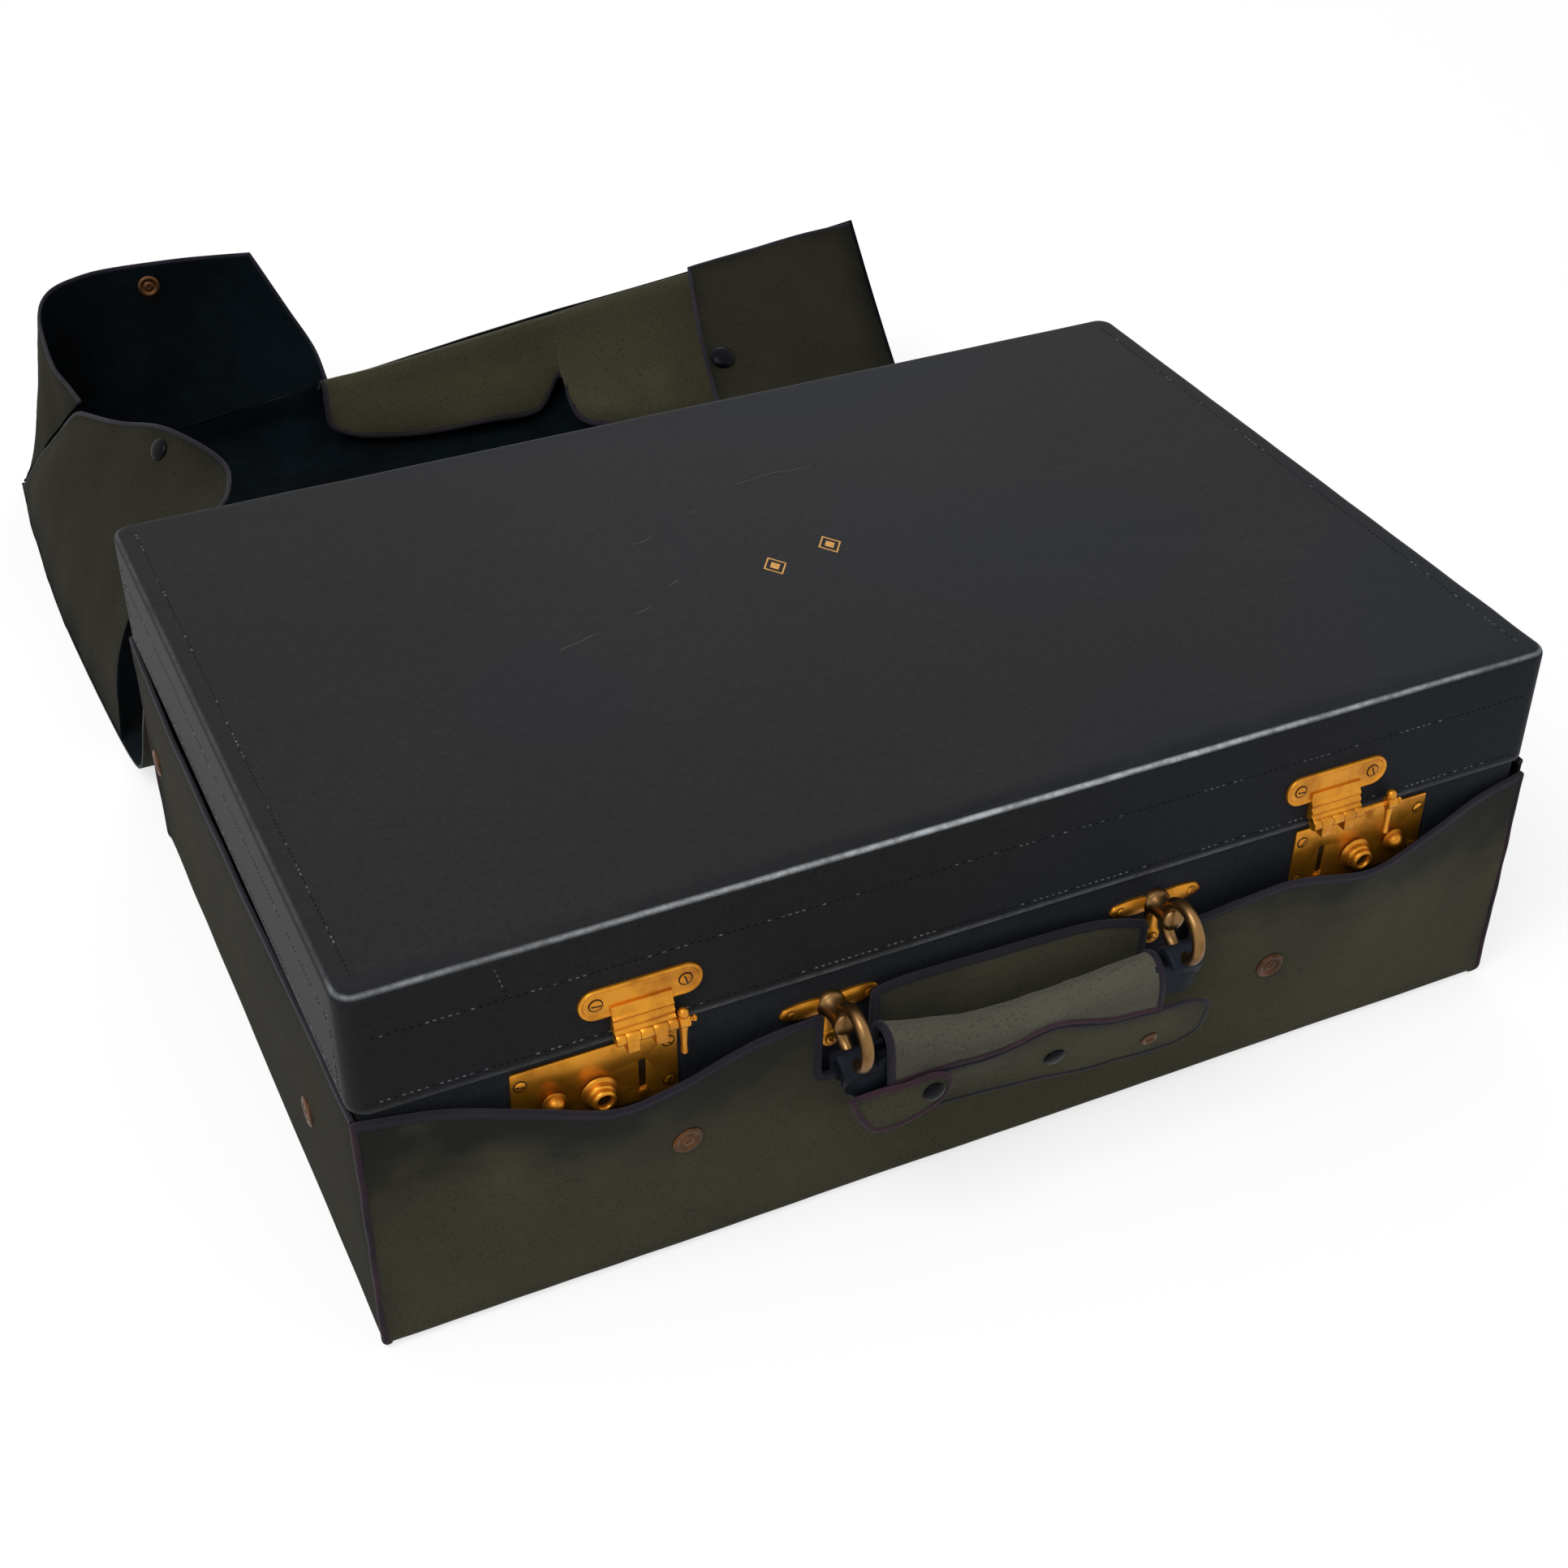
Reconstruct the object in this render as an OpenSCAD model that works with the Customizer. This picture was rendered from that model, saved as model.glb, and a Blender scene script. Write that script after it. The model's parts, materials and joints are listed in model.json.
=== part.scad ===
// A leather suitcase with brass locks, standing in the lower half of its fitted canvas cover.
// The origin is on the table under the middle of the case. X runs along the front, which faces -Y.

/* [Case] */
// Length of the lid along the front
case_l = 560; // [500:5:640]
// Depth of the lid from front to back
case_d = 380; // [340:5:440]
// Height of the lid's top above the table
case_h = 190; // [170:5:230]
// Height of the lid
lid_h = 59; // [56:1:75]
// How far the base's faces lie inside the lid's
base_inset = 2.5; // [2.2:0.1:3.5]
// Thickness of the board walls
board_t = 5; // [5:0.5:7]
// Thickness of the leather skin
leather_t = 1.5; // [1.2:0.1:2]
// Thickness of the lining
lining_t = 1; // [0.8:0.1:1.5]
// Radius of the upright corners of the lid
corner_r = 9; // [6:0.5:14]
// Radius of the lid's top edge
edge_r = 3.5; // [2:0.5:5]
// Gap between lid and base
lid_gap = 0.3; // [0.2:0.1:0.5]
// Thickness of the rim that the lid drops over
lip_t = 3; // [2:0.5:4]
// How far that rim stands above the base
lip_up = 8; // [5:1:12]
// How far that rim reaches down inside the base
lip_down = 22; // [15:1:30]

/* [Hinges] */
// Distance between the two rear hinges
hinge_spacing = 330; // [280:5:380]
// Length of a hinge along its pin
hinge_l = 44; // [36:2:60]
// Thickness of a hinge leaf
leaf_t = 1.2; // [1:0.1:1.6]
// Height of a hinge leaf
leaf_h = 24; // [20:1:26]
// Radius of the hinge knuckles
knuckle_r = 2.5; // [2.2:0.1:3]
// Radius of the hinge pin
pin_r = 1.2; // [1:0.1:1.4]
// Running clearance round a pin
run_gap = 0.06; // [0.03:0.01:0.1]

/* [Locks] */
// Distance from the middle of the two locks to the middle of a lock
lock_x = 185; // [165:1:200]
// Offset of the locks' middle from the case's middle
lock_offset = 4; // [-5:0.5:5]
// Length of a lock plate
plate_l = 71; // [69:1:80]
// Height of a lock plate
plate_h = 35; // [34:0.5:38]
// Thickness of the lock and hasp plates
plate_t = 1.2; // [1:0.1:1.5]
// Gap between a lock plate's top edge and the lid
plate_drop = 3.5; // [3:0.5:6]
// Distance from the lock's middle to the keyhole and the hasp above it
hasp_shift = 20; // [18:0.5:20.5]
// Length of a hasp plate
hasp_l = 53; // [48:1:60]
// Height of a hasp plate
hasp_h = 15; // [12:0.5:16]
// Height of a hasp plate's middle above the seam
hasp_up = 21.5; // [20.5:0.5:26]
// Length of the barrel under a hasp
barrel_l = 26; // [25:0.5:34]
// Outer radius of that barrel
barrel_r = 2.8; // [2.4:0.1:3.2]
// Travel of the bolt and its knob
bolt_travel = 5; // [4:0.5:5]
// Travel of the release button
button_travel = 1.6; // [1:0.1:2]
// Travel of the cross pin in the barrel
cross_pin_travel = 13; // [6:1:13]
// Radius of the stepped bolt knob
knob_r = 6; // [5:0.5:6.5]

/* [Handle] */
// Distance between the two handle brackets
bracket_spacing = 158; // [140:2:180]
// Offset of the handle's middle from the case's middle
handle_x = 2; // [-5:1:5]
// Height of the seam above the brackets' middles
bracket_drop = 17.5; // [15:0.5:22]
// Radius of a handle ring, to the middle of its wire
ring_r = 12.5; // [11:0.5:14]
// Radius of the ring's wire
ring_wire = 2.9; // [2.4:0.1:3.2]
// Clearance round a ring's wire
ring_gap = 0.3; // [0.25:0.05:0.5]
// Thickness of the grip from front to back
grip_y = 13; // [11:0.5:15]
// Height of the grip
grip_z = 18; // [16:0.5:22]

/* [Cover] */
// Thickness of the lined canvas
canvas_t = 1.6; // [1.2:0.1:2]
// Gap between the base and the cover's walls
cover_gap = 0.6; // [0.4:0.1:0.8]
// Gap between neighbouring panels of the cover
seam_gap = 0.4; // [0.3:0.1:0.6]
// How far the cover's side walls end below the seam
side_wall_drop = 3; // [2:1:10]
// How far the cover's back wall ends below the seam
back_wall_drop = 39; // [34:1:50]
// Radius of a press stud
snap_r = 7; // [6:0.5:8]

/* [Hidden] */
$fn = 48;

navy = [0.16, 0.17, 0.18];
board_colour = [0.62, 0.50, 0.34];
brass = [0.80, 0.55, 0.20];
steel = [0.55, 0.55, 0.55];
lining_colour = [0.10, 0.13, 0.20];
olive = [0.25, 0.24, 0.18];

eps = 0.01;
seam_z = case_h - lid_h;
bracket_z = seam_z - bracket_drop;
side_wall_h = seam_z - side_wall_drop;
back_wall_h = seam_z - back_wall_drop;
base_z = canvas_t;
base_l = case_l - 2 * base_inset;
base_d = case_d - 2 * base_inset;
base_r = corner_r - base_inset;
base_face_y = -base_d / 2;
lid_face_y = -case_d / 2;
lid_z = seam_z + lid_gap;

// Box with round upright corners, standing on z
module upright_box(l, d, z0, z1, r) {
    translate([0, 0, z0])
        linear_extrude(z1 - z0) {
            square([l - 2 * r, d], center = true);
            square([l, d - 2 * r], center = true);
            for (sx = [-1, 1], sy = [-1, 1])
                translate([sx * (l / 2 - r), sy * (d / 2 - r)])
                    circle(r);
        }
}

// Box between two corners
module span(a, b) {
    translate(a)
        cube(b - a);
}

// Cylinder along Y, from y0 towards the viewer by len
module peg(x, z, y0, r, len) {
    translate([x, y0, z])
        rotate([90, 0, 0])
            cylinder(r = r, h = len);
}

// Cylinder along X, from x0 to x1
module bar_x(x0, x1, y, z, r) {
    translate([x0, y, z])
        rotate([0, 90, 0])
            cylinder(r = r, h = x1 - x0);
}

// Screw with a domed head on a face that looks towards -Y
module front_screw(x, z, face_y, head_r, shank_len) {
    peg(x, z, face_y, head_r, 0.5);
    peg(x, z, face_y - 0.5, head_r * 0.7, 0.4);
    peg(x, z, face_y + shank_len, head_r * 0.4, shank_len);
}

// Base

// The hollow shell of a case half: outer size, wall and floor
module tub(l, d, z0, z1, wall, floor_t, r) {
    difference() {
        upright_box(l, d, z0, z1, r);
        upright_box(l - 2 * wall, d - 2 * wall, z0 + floor_t, z1 + 1, max(r - wall, 0.5));
    }
}

lock_case_l0 = 25;
lock_case_low = 15.5;
lock_case_high = 14.5;
lock_case_deep = 5.2;
case_wall = 0.8;
mortise_gap = 0.1;
plate_z = seam_z - plate_drop - plate_h / 2;
lug_x = 6;
lug_half = 2;
lug_slot = 0.8;
lug_slot_low = 4.5;
lock_case_l1 = hasp_shift + lug_x + lug_half + lug_slot + 0.4;

function lock_at(side) = lock_offset + side * lock_x;

// Pocket for a lock case, open upwards over the hasp's two lugs
module lock_mortise(side) {
    depth = lock_case_deep + mortise_gap;
    translate([lock_at(side), 0, 0])
        mirror([side > 0 ? 1 : 0, 0, 0]) {
            span([-lock_case_l0 - mortise_gap, base_face_y - 1, plate_z - lock_case_low - mortise_gap],
                 [lock_case_l1 + mortise_gap, base_face_y + depth, plate_z + lock_case_high + mortise_gap]);
            span([hasp_shift - lug_x - lug_half - lug_slot, base_face_y - 3, plate_z],
                 [hasp_shift + lug_x + lug_half + lug_slot, base_face_y + lock_case_deep - case_wall,
                  seam_z + 1]);
        }
}

module screw_holes_front(r, deep) {
    for (side = [-1, 1]) {
        for (sx = [-1, 1], sz = [-1, 1])
            peg(lock_at(side) + sx * screw_x, plate_z + sz * screw_z, base_face_y + deep, r, deep + 5);
        for (p = bracket_screw_places)
            peg(bracket_x(side) + p[0], bracket_z + p[1], base_face_y + deep, r, deep + 5);
    }
}

module base_leather() {
    color(navy)
        difference() {
            tub(base_l, base_d, base_z, seam_z, leather_t, leather_t, base_r);
            lock_mortise(-1);
            lock_mortise(1);
            screw_holes_front(screw_hole_r, leather_t + 1);
            hinge_screw_holes(base_d / 2 + 1, leather_t + 2, base_leaf_screw_z);
        }
}

module base_frame() {
    color(board_colour)
        difference() {
            tub(base_l - 2 * leather_t, base_d - 2 * leather_t, base_z + leather_t, seam_z, board_t, board_t,
                base_r - leather_t);
            lock_mortise(-1);
            lock_mortise(1);
            screw_holes_front(screw_hole_r, leather_t + board_t - 1.5);
            hinge_screw_holes(base_d / 2 + 1, leather_t + board_t - 0.5, base_leaf_screw_z);
        }
}

module base_lining() {
    inset = leather_t + board_t;
    color(lining_colour)
        tub(base_l - 2 * inset, base_d - 2 * inset, base_z + inset, seam_z - lip_down, lining_t, lining_t,
            max(base_r - inset, 1));
}

module base_lip() {
    inset = leather_t + board_t;
    r = max(base_r - inset, 1);
    color(lining_colour)
        difference() {
            upright_box(base_l - 2 * inset, base_d - 2 * inset, seam_z - lip_down, seam_z + lip_up, r);
            upright_box(base_l - 2 * inset - 2 * lip_t, base_d - 2 * inset - 2 * lip_t,
                        seam_z - lip_down - 1, seam_z + lip_up + 1, r);
        }
}

// Lid

module lid_block() {
    l = case_l;
    d = case_d;
    upright_box(l, d, lid_z, case_h - edge_r, corner_r);
    upright_box(l - 2 * edge_r, d - 2 * edge_r, lid_z, case_h, corner_r - edge_r);
    for (s = [-1, 1]) {
        bar_x(-l / 2 + corner_r, l / 2 - corner_r, s * (d / 2 - edge_r), case_h - edge_r, edge_r);
        translate([s * (l / 2 - edge_r), d / 2 - corner_r, case_h - edge_r])
            rotate([90, 0, 0])
                cylinder(r = edge_r, h = d - 2 * corner_r);
    }
    for (sx = [-1, 1], sy = [-1, 1])
        translate([sx * (l / 2 - corner_r), sy * (d / 2 - corner_r), case_h - edge_r])
            rotate_extrude()
                translate([corner_r - edge_r, 0])
                    intersection() {
                        circle(edge_r);
                        translate([0, -edge_r])
                            square([edge_r, 2 * edge_r]);
                    }
}

module lid_leather() {
    color(navy)
        difference() {
            lid_block();
            upright_box(case_l - 2 * leather_t, case_d - 2 * leather_t, lid_z - 1, case_h - leather_t,
                        corner_r - leather_t);
            hasp_screw_holes(leather_t + 1);
            hinge_screw_holes(case_d / 2 + 1, leather_t + 2, lid_leaf_screw_z);
        }
}

module lid_shell(inset, wall) {
    r = max(corner_r - inset, 1.5);
    difference() {
        upright_box(case_l - 2 * inset, case_d - 2 * inset, lid_z, case_h - inset, r);
        upright_box(case_l - 2 * inset - 2 * wall, case_d - 2 * inset - 2 * wall, lid_z - 1,
                    case_h - inset - wall, max(r - wall, 0.5));
    }
}

module lid_frame() {
    color(board_colour)
        difference() {
            lid_shell(leather_t, board_t);
            hasp_screw_holes(leather_t + board_t - 1.5);
            hinge_screw_holes(case_d / 2 + 1, leather_t + board_t - 0.5, lid_leaf_screw_z);
        }
}

module lid_lining() {
    color(lining_colour)
        lid_shell(leather_t + board_t, lining_t);
}

// Hinges: the axis runs along X behind the case, level with the seam

hinge_y = case_d / 2 + knuckle_r + 1;
hinge_z = seam_z;
knuckle_count = 5;
knuckle_gap = 0.3;
hinge_screw_r = 1.1;
base_leaf_screw_z = seam_z - leaf_h / 2 - 3;
lid_leaf_screw_z = seam_z + leaf_h / 2 + 4;
hinge_screw_dx = 15;

// Knuckles with their webs: parity 0 for the base leaf's, 1 for the lid leaf's
module knuckles(cx, parity, web_y, up) {
    pitch = hinge_l / knuckle_count;
    for (i = [0 : knuckle_count - 1])
        if (i % 2 == parity) {
            x0 = cx - hinge_l / 2 + i * pitch + knuckle_gap / 2;
            x1 = x0 + pitch - knuckle_gap;
            difference() {
                union() {
                    bar_x(x0, x1, hinge_y, hinge_z, knuckle_r);
                    if (up)
                        span([x0, web_y, hinge_z + lid_gap], [x1, hinge_y, hinge_z + knuckle_r]);
                    else
                        span([x0, web_y, hinge_z - knuckle_r], [x1, hinge_y, hinge_z]);
                }
                bar_x(x0 - 1, x1 + 1, hinge_y, hinge_z, pin_r + run_gap);
            }
        }
}

module hinge_screw_holes(y, deep, z) {
    for (side = [-1, 1], s = [-1, 0, 1])
        peg(side * hinge_spacing / 2 + s * hinge_screw_dx, z, y, hinge_screw_r, deep + 1);
}

module hinge_base_leaves() {
    y0 = base_d / 2;
    color(brass)
        for (side = [-1, 1]) {
            cx = side * hinge_spacing / 2;
            difference() {
                span([cx - hinge_l / 2, y0, seam_z - leaf_h - 2],
                     [cx + hinge_l / 2, y0 + leaf_t, seam_z - lid_gap]);
                hinge_screw_holes(y0 + leaf_t + 1, leaf_t + 2, base_leaf_screw_z);
            }
            knuckles(cx, 0, y0 + leaf_t, false);
        }
}

module hinge_lid_leaves() {
    y0 = case_d / 2;
    color(brass)
        for (side = [-1, 1]) {
            cx = side * hinge_spacing / 2;
            difference() {
                span([cx - hinge_l / 2, y0, seam_z + 2],
                     [cx + hinge_l / 2, y0 + leaf_t, seam_z + leaf_h + 2]);
                hinge_screw_holes(y0 + leaf_t + 1, leaf_t + 2, lid_leaf_screw_z);
            }
            knuckles(cx, 1, y0, true);
        }
}

module hinge_pins() {
    color(steel)
        for (side = [-1, 1]) {
            cx = side * hinge_spacing / 2;
            bar_x(cx - hinge_l / 2 - 0.5, cx + hinge_l / 2 + 0.5, hinge_y, hinge_z, pin_r);
        }
}

// Screws that enter the rear wall from behind
module rear_screws(face_y, z, shank_len) {
    for (side = [-1, 1], s = [-1, 0, 1]) {
        x = side * hinge_spacing / 2 + s * hinge_screw_dx;
        peg(x, z, face_y + 0.8, 2.2, 0.8);
        peg(x, z, face_y, hinge_screw_r - 0.05, shank_len);
    }
}

module hinge_base_screws() {
    color(brass)
        rear_screws(base_d / 2 + leaf_t, base_leaf_screw_z, leaf_t + leather_t + board_t - 2);
}

module hinge_lid_screws() {
    color(brass)
        rear_screws(case_d / 2 + leaf_t, lid_leaf_screw_z, leaf_t + leather_t + board_t - 2);
}

// Locks, drawn for the left one with x from the lock's middle and mirrored for the right one

screw_x = lock_case_l1 + 2.3;
screw_z = 10.5;
screw_hole_r = 1;
screw_head_r = 2.4;
knob_dx = 1;
knob_dz = -5;
button_dx = -18.5;
button_dz = -2;
button_shank_r = 2.4;
knob_shank_r = 1.8;
button_gap = 0.25;
plate_face_y = base_face_y - plate_t;
keyhole_low = 10;
keyhole_high = 5;
keyhole_half = 1.5;
keyhole_stud_r = 2.1;
key_post_r = 0.7;

module at_lock(side) {
    translate([lock_at(side), 0, plate_z])
        mirror([side > 0 ? 1 : 0, 0, 0])
            children();
}

module lock_plate(side) {
    color(brass)
        at_lock(side)
            difference() {
                union() {
                    span([-plate_l / 2, plate_face_y, -plate_h / 2], [plate_l / 2, base_face_y, plate_h / 2]);
                    peg(hasp_shift, -keyhole_low - keyhole_stud_r - 0.3, plate_face_y, keyhole_stud_r, 0.9);
                }
                span([hasp_shift - keyhole_half, base_face_y - 4, -keyhole_low],
                     [hasp_shift + keyhole_half, base_face_y + 1, keyhole_high]);
                peg(button_dx, button_dz, base_face_y + 1, button_shank_r + button_gap, 4);
                span([knob_dx - knob_shank_r - button_gap, base_face_y - 4,
                      knob_dz - knob_shank_r - button_gap],
                     [knob_dx + knob_shank_r + bolt_travel + button_gap, base_face_y + 1,
                      knob_dz + knob_shank_r + button_gap]);
                for (sx = [-1, 1], sz = [-1, 1])
                    peg(sx * screw_x, sz * screw_z, base_face_y + 1, screw_hole_r, 4);
            }
}

module lock_case(side) {
    color(brass)
        at_lock(side)
            difference() {
                span([-lock_case_l0, base_face_y, -lock_case_low],
                     [lock_case_l1, base_face_y + lock_case_deep, lock_case_high]);
                difference() {
                    span([-lock_case_l0 + case_wall, base_face_y - 1, -lock_case_low + case_wall],
                         [lock_case_l1 - case_wall, base_face_y + lock_case_deep - case_wall,
                          lock_case_high - case_wall]);
                    peg(hasp_shift, (keyhole_high - keyhole_low) / 2, base_face_y + lock_case_deep,
                        key_post_r, lock_case_deep - 1);
                }
                for (s = [-1, 1])
                    span([hasp_shift + s * lug_x - lug_half - lug_slot, base_face_y - 1, lug_slot_low],
                         [hasp_shift + s * lug_x + lug_half + lug_slot,
                          base_face_y + lock_case_deep - case_wall, plate_h]);
            }
}

bolt_y0 = base_face_y + 0.6;
bolt_y1 = bolt_y0 + 1.9;
bolt_low = knob_dz - 4;
eye_z = 10;
eye_half = 2.1;
nose_half = 1.6;
nose_gap = 0.5;

// Bolt with two noses that slide into the eyes of the hasp's lugs
module lock_bolt(side) {
    tip_1 = hasp_shift - lug_x - lug_half - nose_gap;
    tip_2 = hasp_shift + lug_x - lug_half - nose_gap;
    root_1 = tip_1 - bolt_travel;
    root_2 = tip_2 - bolt_travel - 0.3;
    post_2 = hasp_shift - lug_x + lug_half + 0.4;
    rail_low = 1.5;
    rail_high = 4.5;
    color(steel)
        at_lock(side) {
            difference() {
                span([knob_dx - 5, bolt_y0, bolt_low], [root_1, bolt_y1, eye_z + nose_half]);
                peg(knob_dx, knob_dz, bolt_y1 + 1, knob_shank_r, 4);
            }
            span([root_1 - eps, bolt_y0, eye_z - nose_half], [tip_1, bolt_y1, eye_z + nose_half]);
            span([root_1 - eps, bolt_y0, rail_low], [root_2, bolt_y1, rail_high]);
            span([post_2, bolt_y0, rail_low], [root_2, bolt_y1, eye_z + nose_half]);
            span([post_2, bolt_y0, eye_z - nose_half], [tip_2, bolt_y1, eye_z + nose_half]);
        }
}

module bolt_knob(side) {
    front_gap = 0.4;
    y0 = plate_face_y - front_gap;
    color(brass)
        at_lock(side)
            difference() {
                union() {
                    peg(knob_dx, knob_dz, bolt_y1, knob_shank_r, bolt_y1 - y0);
                    peg(knob_dx, knob_dz, y0, knob_r + 2, 1);
                    peg(knob_dx, knob_dz, y0 - 1, knob_r, 3);
                    peg(knob_dx, knob_dz, y0 - 4, knob_r - 0.8, 2.2);
                    peg(knob_dx, knob_dz, y0 - 6.2, knob_r - 1.6, 0.8);
                }
                peg(knob_dx, knob_dz, y0 - 3.5, knob_r - 3, 5);
            }
}

module release_button(side) {
    y0 = plate_face_y - button_travel - button_gap;
    color(brass)
        at_lock(side) {
            peg(button_dx, button_dz, base_face_y + 0.8, button_shank_r, base_face_y + 0.8 - y0);
            peg(button_dx, button_dz, y0, 5, 0.8);
            peg(button_dx, button_dz, y0 - 0.8, 4, 0.8);
            translate([button_dx, y0 - 2.1, button_dz])
                sphere(3.2);
            peg(button_dx, button_dz, base_face_y + 1.4, button_shank_r + 0.8, 0.6);
        }
}

// Bowed leaf spring under each bolt
module lock_springs() {
    bow_r = 26;
    strip = 0.5;
    color(steel)
        for (side = [-1, 1])
            at_lock(side)
                intersection() {
                    translate([-1, bolt_y0, bolt_low - 0.3 - bow_r])
                        rotate([-90, 0, 0])
                            difference() {
                                cylinder(r = bow_r, h = 1.9, $fn = 96);
                                translate([0, 0, -1])
                                    cylinder(r = bow_r - strip, h = 4, $fn = 96);
                            }
                    span([-22, bolt_y0 - 1, -lock_case_low + case_wall], [20, bolt_y1 + 1, knob_dz]);
                }
}

module lock_screws() {
    color(brass)
        for (side = [-1, 1])
            at_lock(side)
                for (sx = [-1, 1], sz = [-1, 1])
                    front_screw(sx * screw_x, sz * screw_z, plate_face_y, screw_head_r,
                                plate_t + leather_t + board_t - 2.5);
}

// Hasps on the lid

hasp_z = seam_z + hasp_up;
hasp_screw_x = 19;
hasp_face_y = lid_face_y - plate_t;
barrel_y = lid_face_y - barrel_r - 1.8;
barrel_z = seam_z + barrel_r + 1;
cross_pin_r = 1.3;

module at_hasp(side) {
    translate([lock_at(side) - side * hasp_shift, 0, 0])
        children();
}

module hasp_screw_holes(deep) {
    for (side = [-1, 1])
        at_hasp(side)
            for (sx = [-1, 1])
                peg(sx * hasp_screw_x, hasp_z, lid_face_y + deep, screw_hole_r, deep + 3);
}

// Hasp: plate, stepped neck, barrel, and two lugs that hook into the lock
module hasp(side) {
    half = hasp_l / 2 - hasp_h / 2;
    plate_low = hasp_z - hasp_h / 2;
    step = (plate_low - barrel_z) / 3;
    color(brass)
        at_hasp(side)
            difference() {
                union() {
                    span([-half, hasp_face_y, plate_low], [half, lid_face_y, hasp_z + hasp_h / 2]);
                    for (s = [-1, 1])
                        peg(s * half, hasp_z, lid_face_y, hasp_h / 2, plate_t);
                    for (i = [0 : 2])
                        span([-barrel_l / 2, lid_face_y - plate_t - 0.8 - i * 1.2, barrel_z + i * step * 0.4],
                             [barrel_l / 2, lid_face_y, plate_low + 2 - i * step]);
                    bar_x(-barrel_l / 2, barrel_l / 2, barrel_y, barrel_z, barrel_r);
                    for (s = [-1, 1])
                        hasp_lug(s * lug_x);
                }
                bar_x(-barrel_l / 2 - 1, barrel_l / 2 + 1, barrel_y, barrel_z, cross_pin_r + run_gap);
                for (s = [-1, 1])
                    peg(s * hasp_screw_x, hasp_z, lid_face_y + 1, screw_hole_r, 5);
            }
}

lug_head_half = 2.8;
lug_clear = 0.5;
lug_wall = 1.6;

// Lug with a head under the barrel, a bridge over the lock plate's edge, and a hook behind the plate
module hasp_lug(x) {
    front_y = barrel_y - barrel_r;
    tip_y = base_face_y + lock_case_deep - case_wall - 0.6;
    low = plate_z + plate_h / 2 + lug_clear;
    eye_low = plate_z + eye_z - eye_half;
    difference() {
        union() {
            span([x - lug_head_half, front_y, low], [x + lug_head_half, lid_face_y - 0.8, barrel_z]);
            span([x - lug_half, front_y, low], [x + lug_half, tip_y, seam_z]);
            span([x - lug_half, base_face_y + lug_clear, eye_low - lug_wall], [x + lug_half, tip_y, seam_z]);
        }
        span([x - lug_half - 1, bolt_y0 - 0.6, eye_low],
             [x + lug_half + 1, bolt_y1 + 0.5, eye_low + 2 * eye_half]);
    }
}

// Cross pin in the barrel, with a hub, a nub and a hanging tapered rod at its right end
module cross_pin(side) {
    hub_l = 5;
    hub_x = side < 0 ? barrel_l / 2 + 0.4 : barrel_l / 2 + 0.4 + cross_pin_travel;
    rod_len = 17;
    rod_y = barrel_y - 0.4;
    color(brass)
        at_hasp(side) {
            bar_x(hub_x - barrel_l + 2, hub_x + 0.5, barrel_y, barrel_z, cross_pin_r);
            difference() {
                bar_x(hub_x, hub_x + hub_l, rod_y, barrel_z, 3);
                span([hub_x - 1, lid_face_y - 0.6, barrel_z - 5],
                     [hub_x + hub_l + 1, lid_face_y + 5, barrel_z + 5]);
            }
            bar_x(hub_x + hub_l - 0.5, hub_x + hub_l + 1.8, rod_y, barrel_z, 1.2);
            translate([hub_x + hub_l + 2.2, rod_y, barrel_z])
                sphere(1.5);
            translate([hub_x + hub_l / 2, rod_y, barrel_z + 4])
                sphere(2.4);
            translate([hub_x + hub_l / 2, rod_y, barrel_z - rod_len])
                cylinder(r1 = 1, r2 = 2, h = rod_len);
        }
}

module hasp_screws() {
    color(brass)
        for (side = [-1, 1])
            at_hasp(side)
                for (sx = [-1, 1])
                    front_screw(sx * hasp_screw_x, hasp_z, hasp_face_y, screw_head_r,
                                plate_t + leather_t + board_t - 2.5);
}

// Handle

bracket_arm = 46;
arm_half = 4;
arm_end_x = bracket_arm / 2 - arm_half;
bracket_t = 1.5;
arm_screw_x = 18;
foot_screw_drop = 19.5;
bracket_screw_places = [[-arm_screw_x, 0], [arm_screw_x, 0], [0, -foot_screw_drop]];
boss_r = 5.5;
ring_reach = 10.5;
ring_sag = 1;
ring_y = base_face_y - ring_r - ring_reach;
ring_z = bracket_z - ring_sag;
boss_tip_y = ring_y + ring_r - ring_wire - 2.3;

function bracket_x(side) = handle_x + side * bracket_spacing / 2;

module torus(x, wire) {
    translate([x, ring_y, ring_z])
        rotate([0, 90, 0])
            rotate_extrude()
                translate([ring_r, 0])
                    circle(wire);
}

module handle_bracket(side) {
    x = bracket_x(side);
    face = base_face_y - bracket_t;
    color(brass)
        difference() {
            union() {
                span([x - arm_end_x, face, bracket_z - arm_half],
                     [x + arm_end_x, base_face_y, bracket_z + arm_half]);
                for (s = [-1, 1])
                    peg(x + s * arm_end_x, bracket_z, base_face_y, arm_half, bracket_t);
                span([x - arm_half, face, bracket_z - foot_screw_drop],
                     [x + arm_half, base_face_y, bracket_z]);
                peg(x, bracket_z - foot_screw_drop, base_face_y, arm_half + 0.5, bracket_t);
                peg(x, bracket_z, base_face_y, boss_r + 1, bracket_t + 2);
                peg(x, bracket_z, base_face_y, boss_r, base_face_y - boss_tip_y);
                translate([x, boss_tip_y, bracket_z])
                    intersection() {
                        sphere(boss_r);
                        span([-10, -10, -10], [10, eps, 10]);
                    }
            }
            torus(x, ring_wire + ring_gap);
            for (p = bracket_screw_places)
                peg(x + p[0], bracket_z + p[1], base_face_y + 1, screw_hole_r, 4);
        }
}

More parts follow.
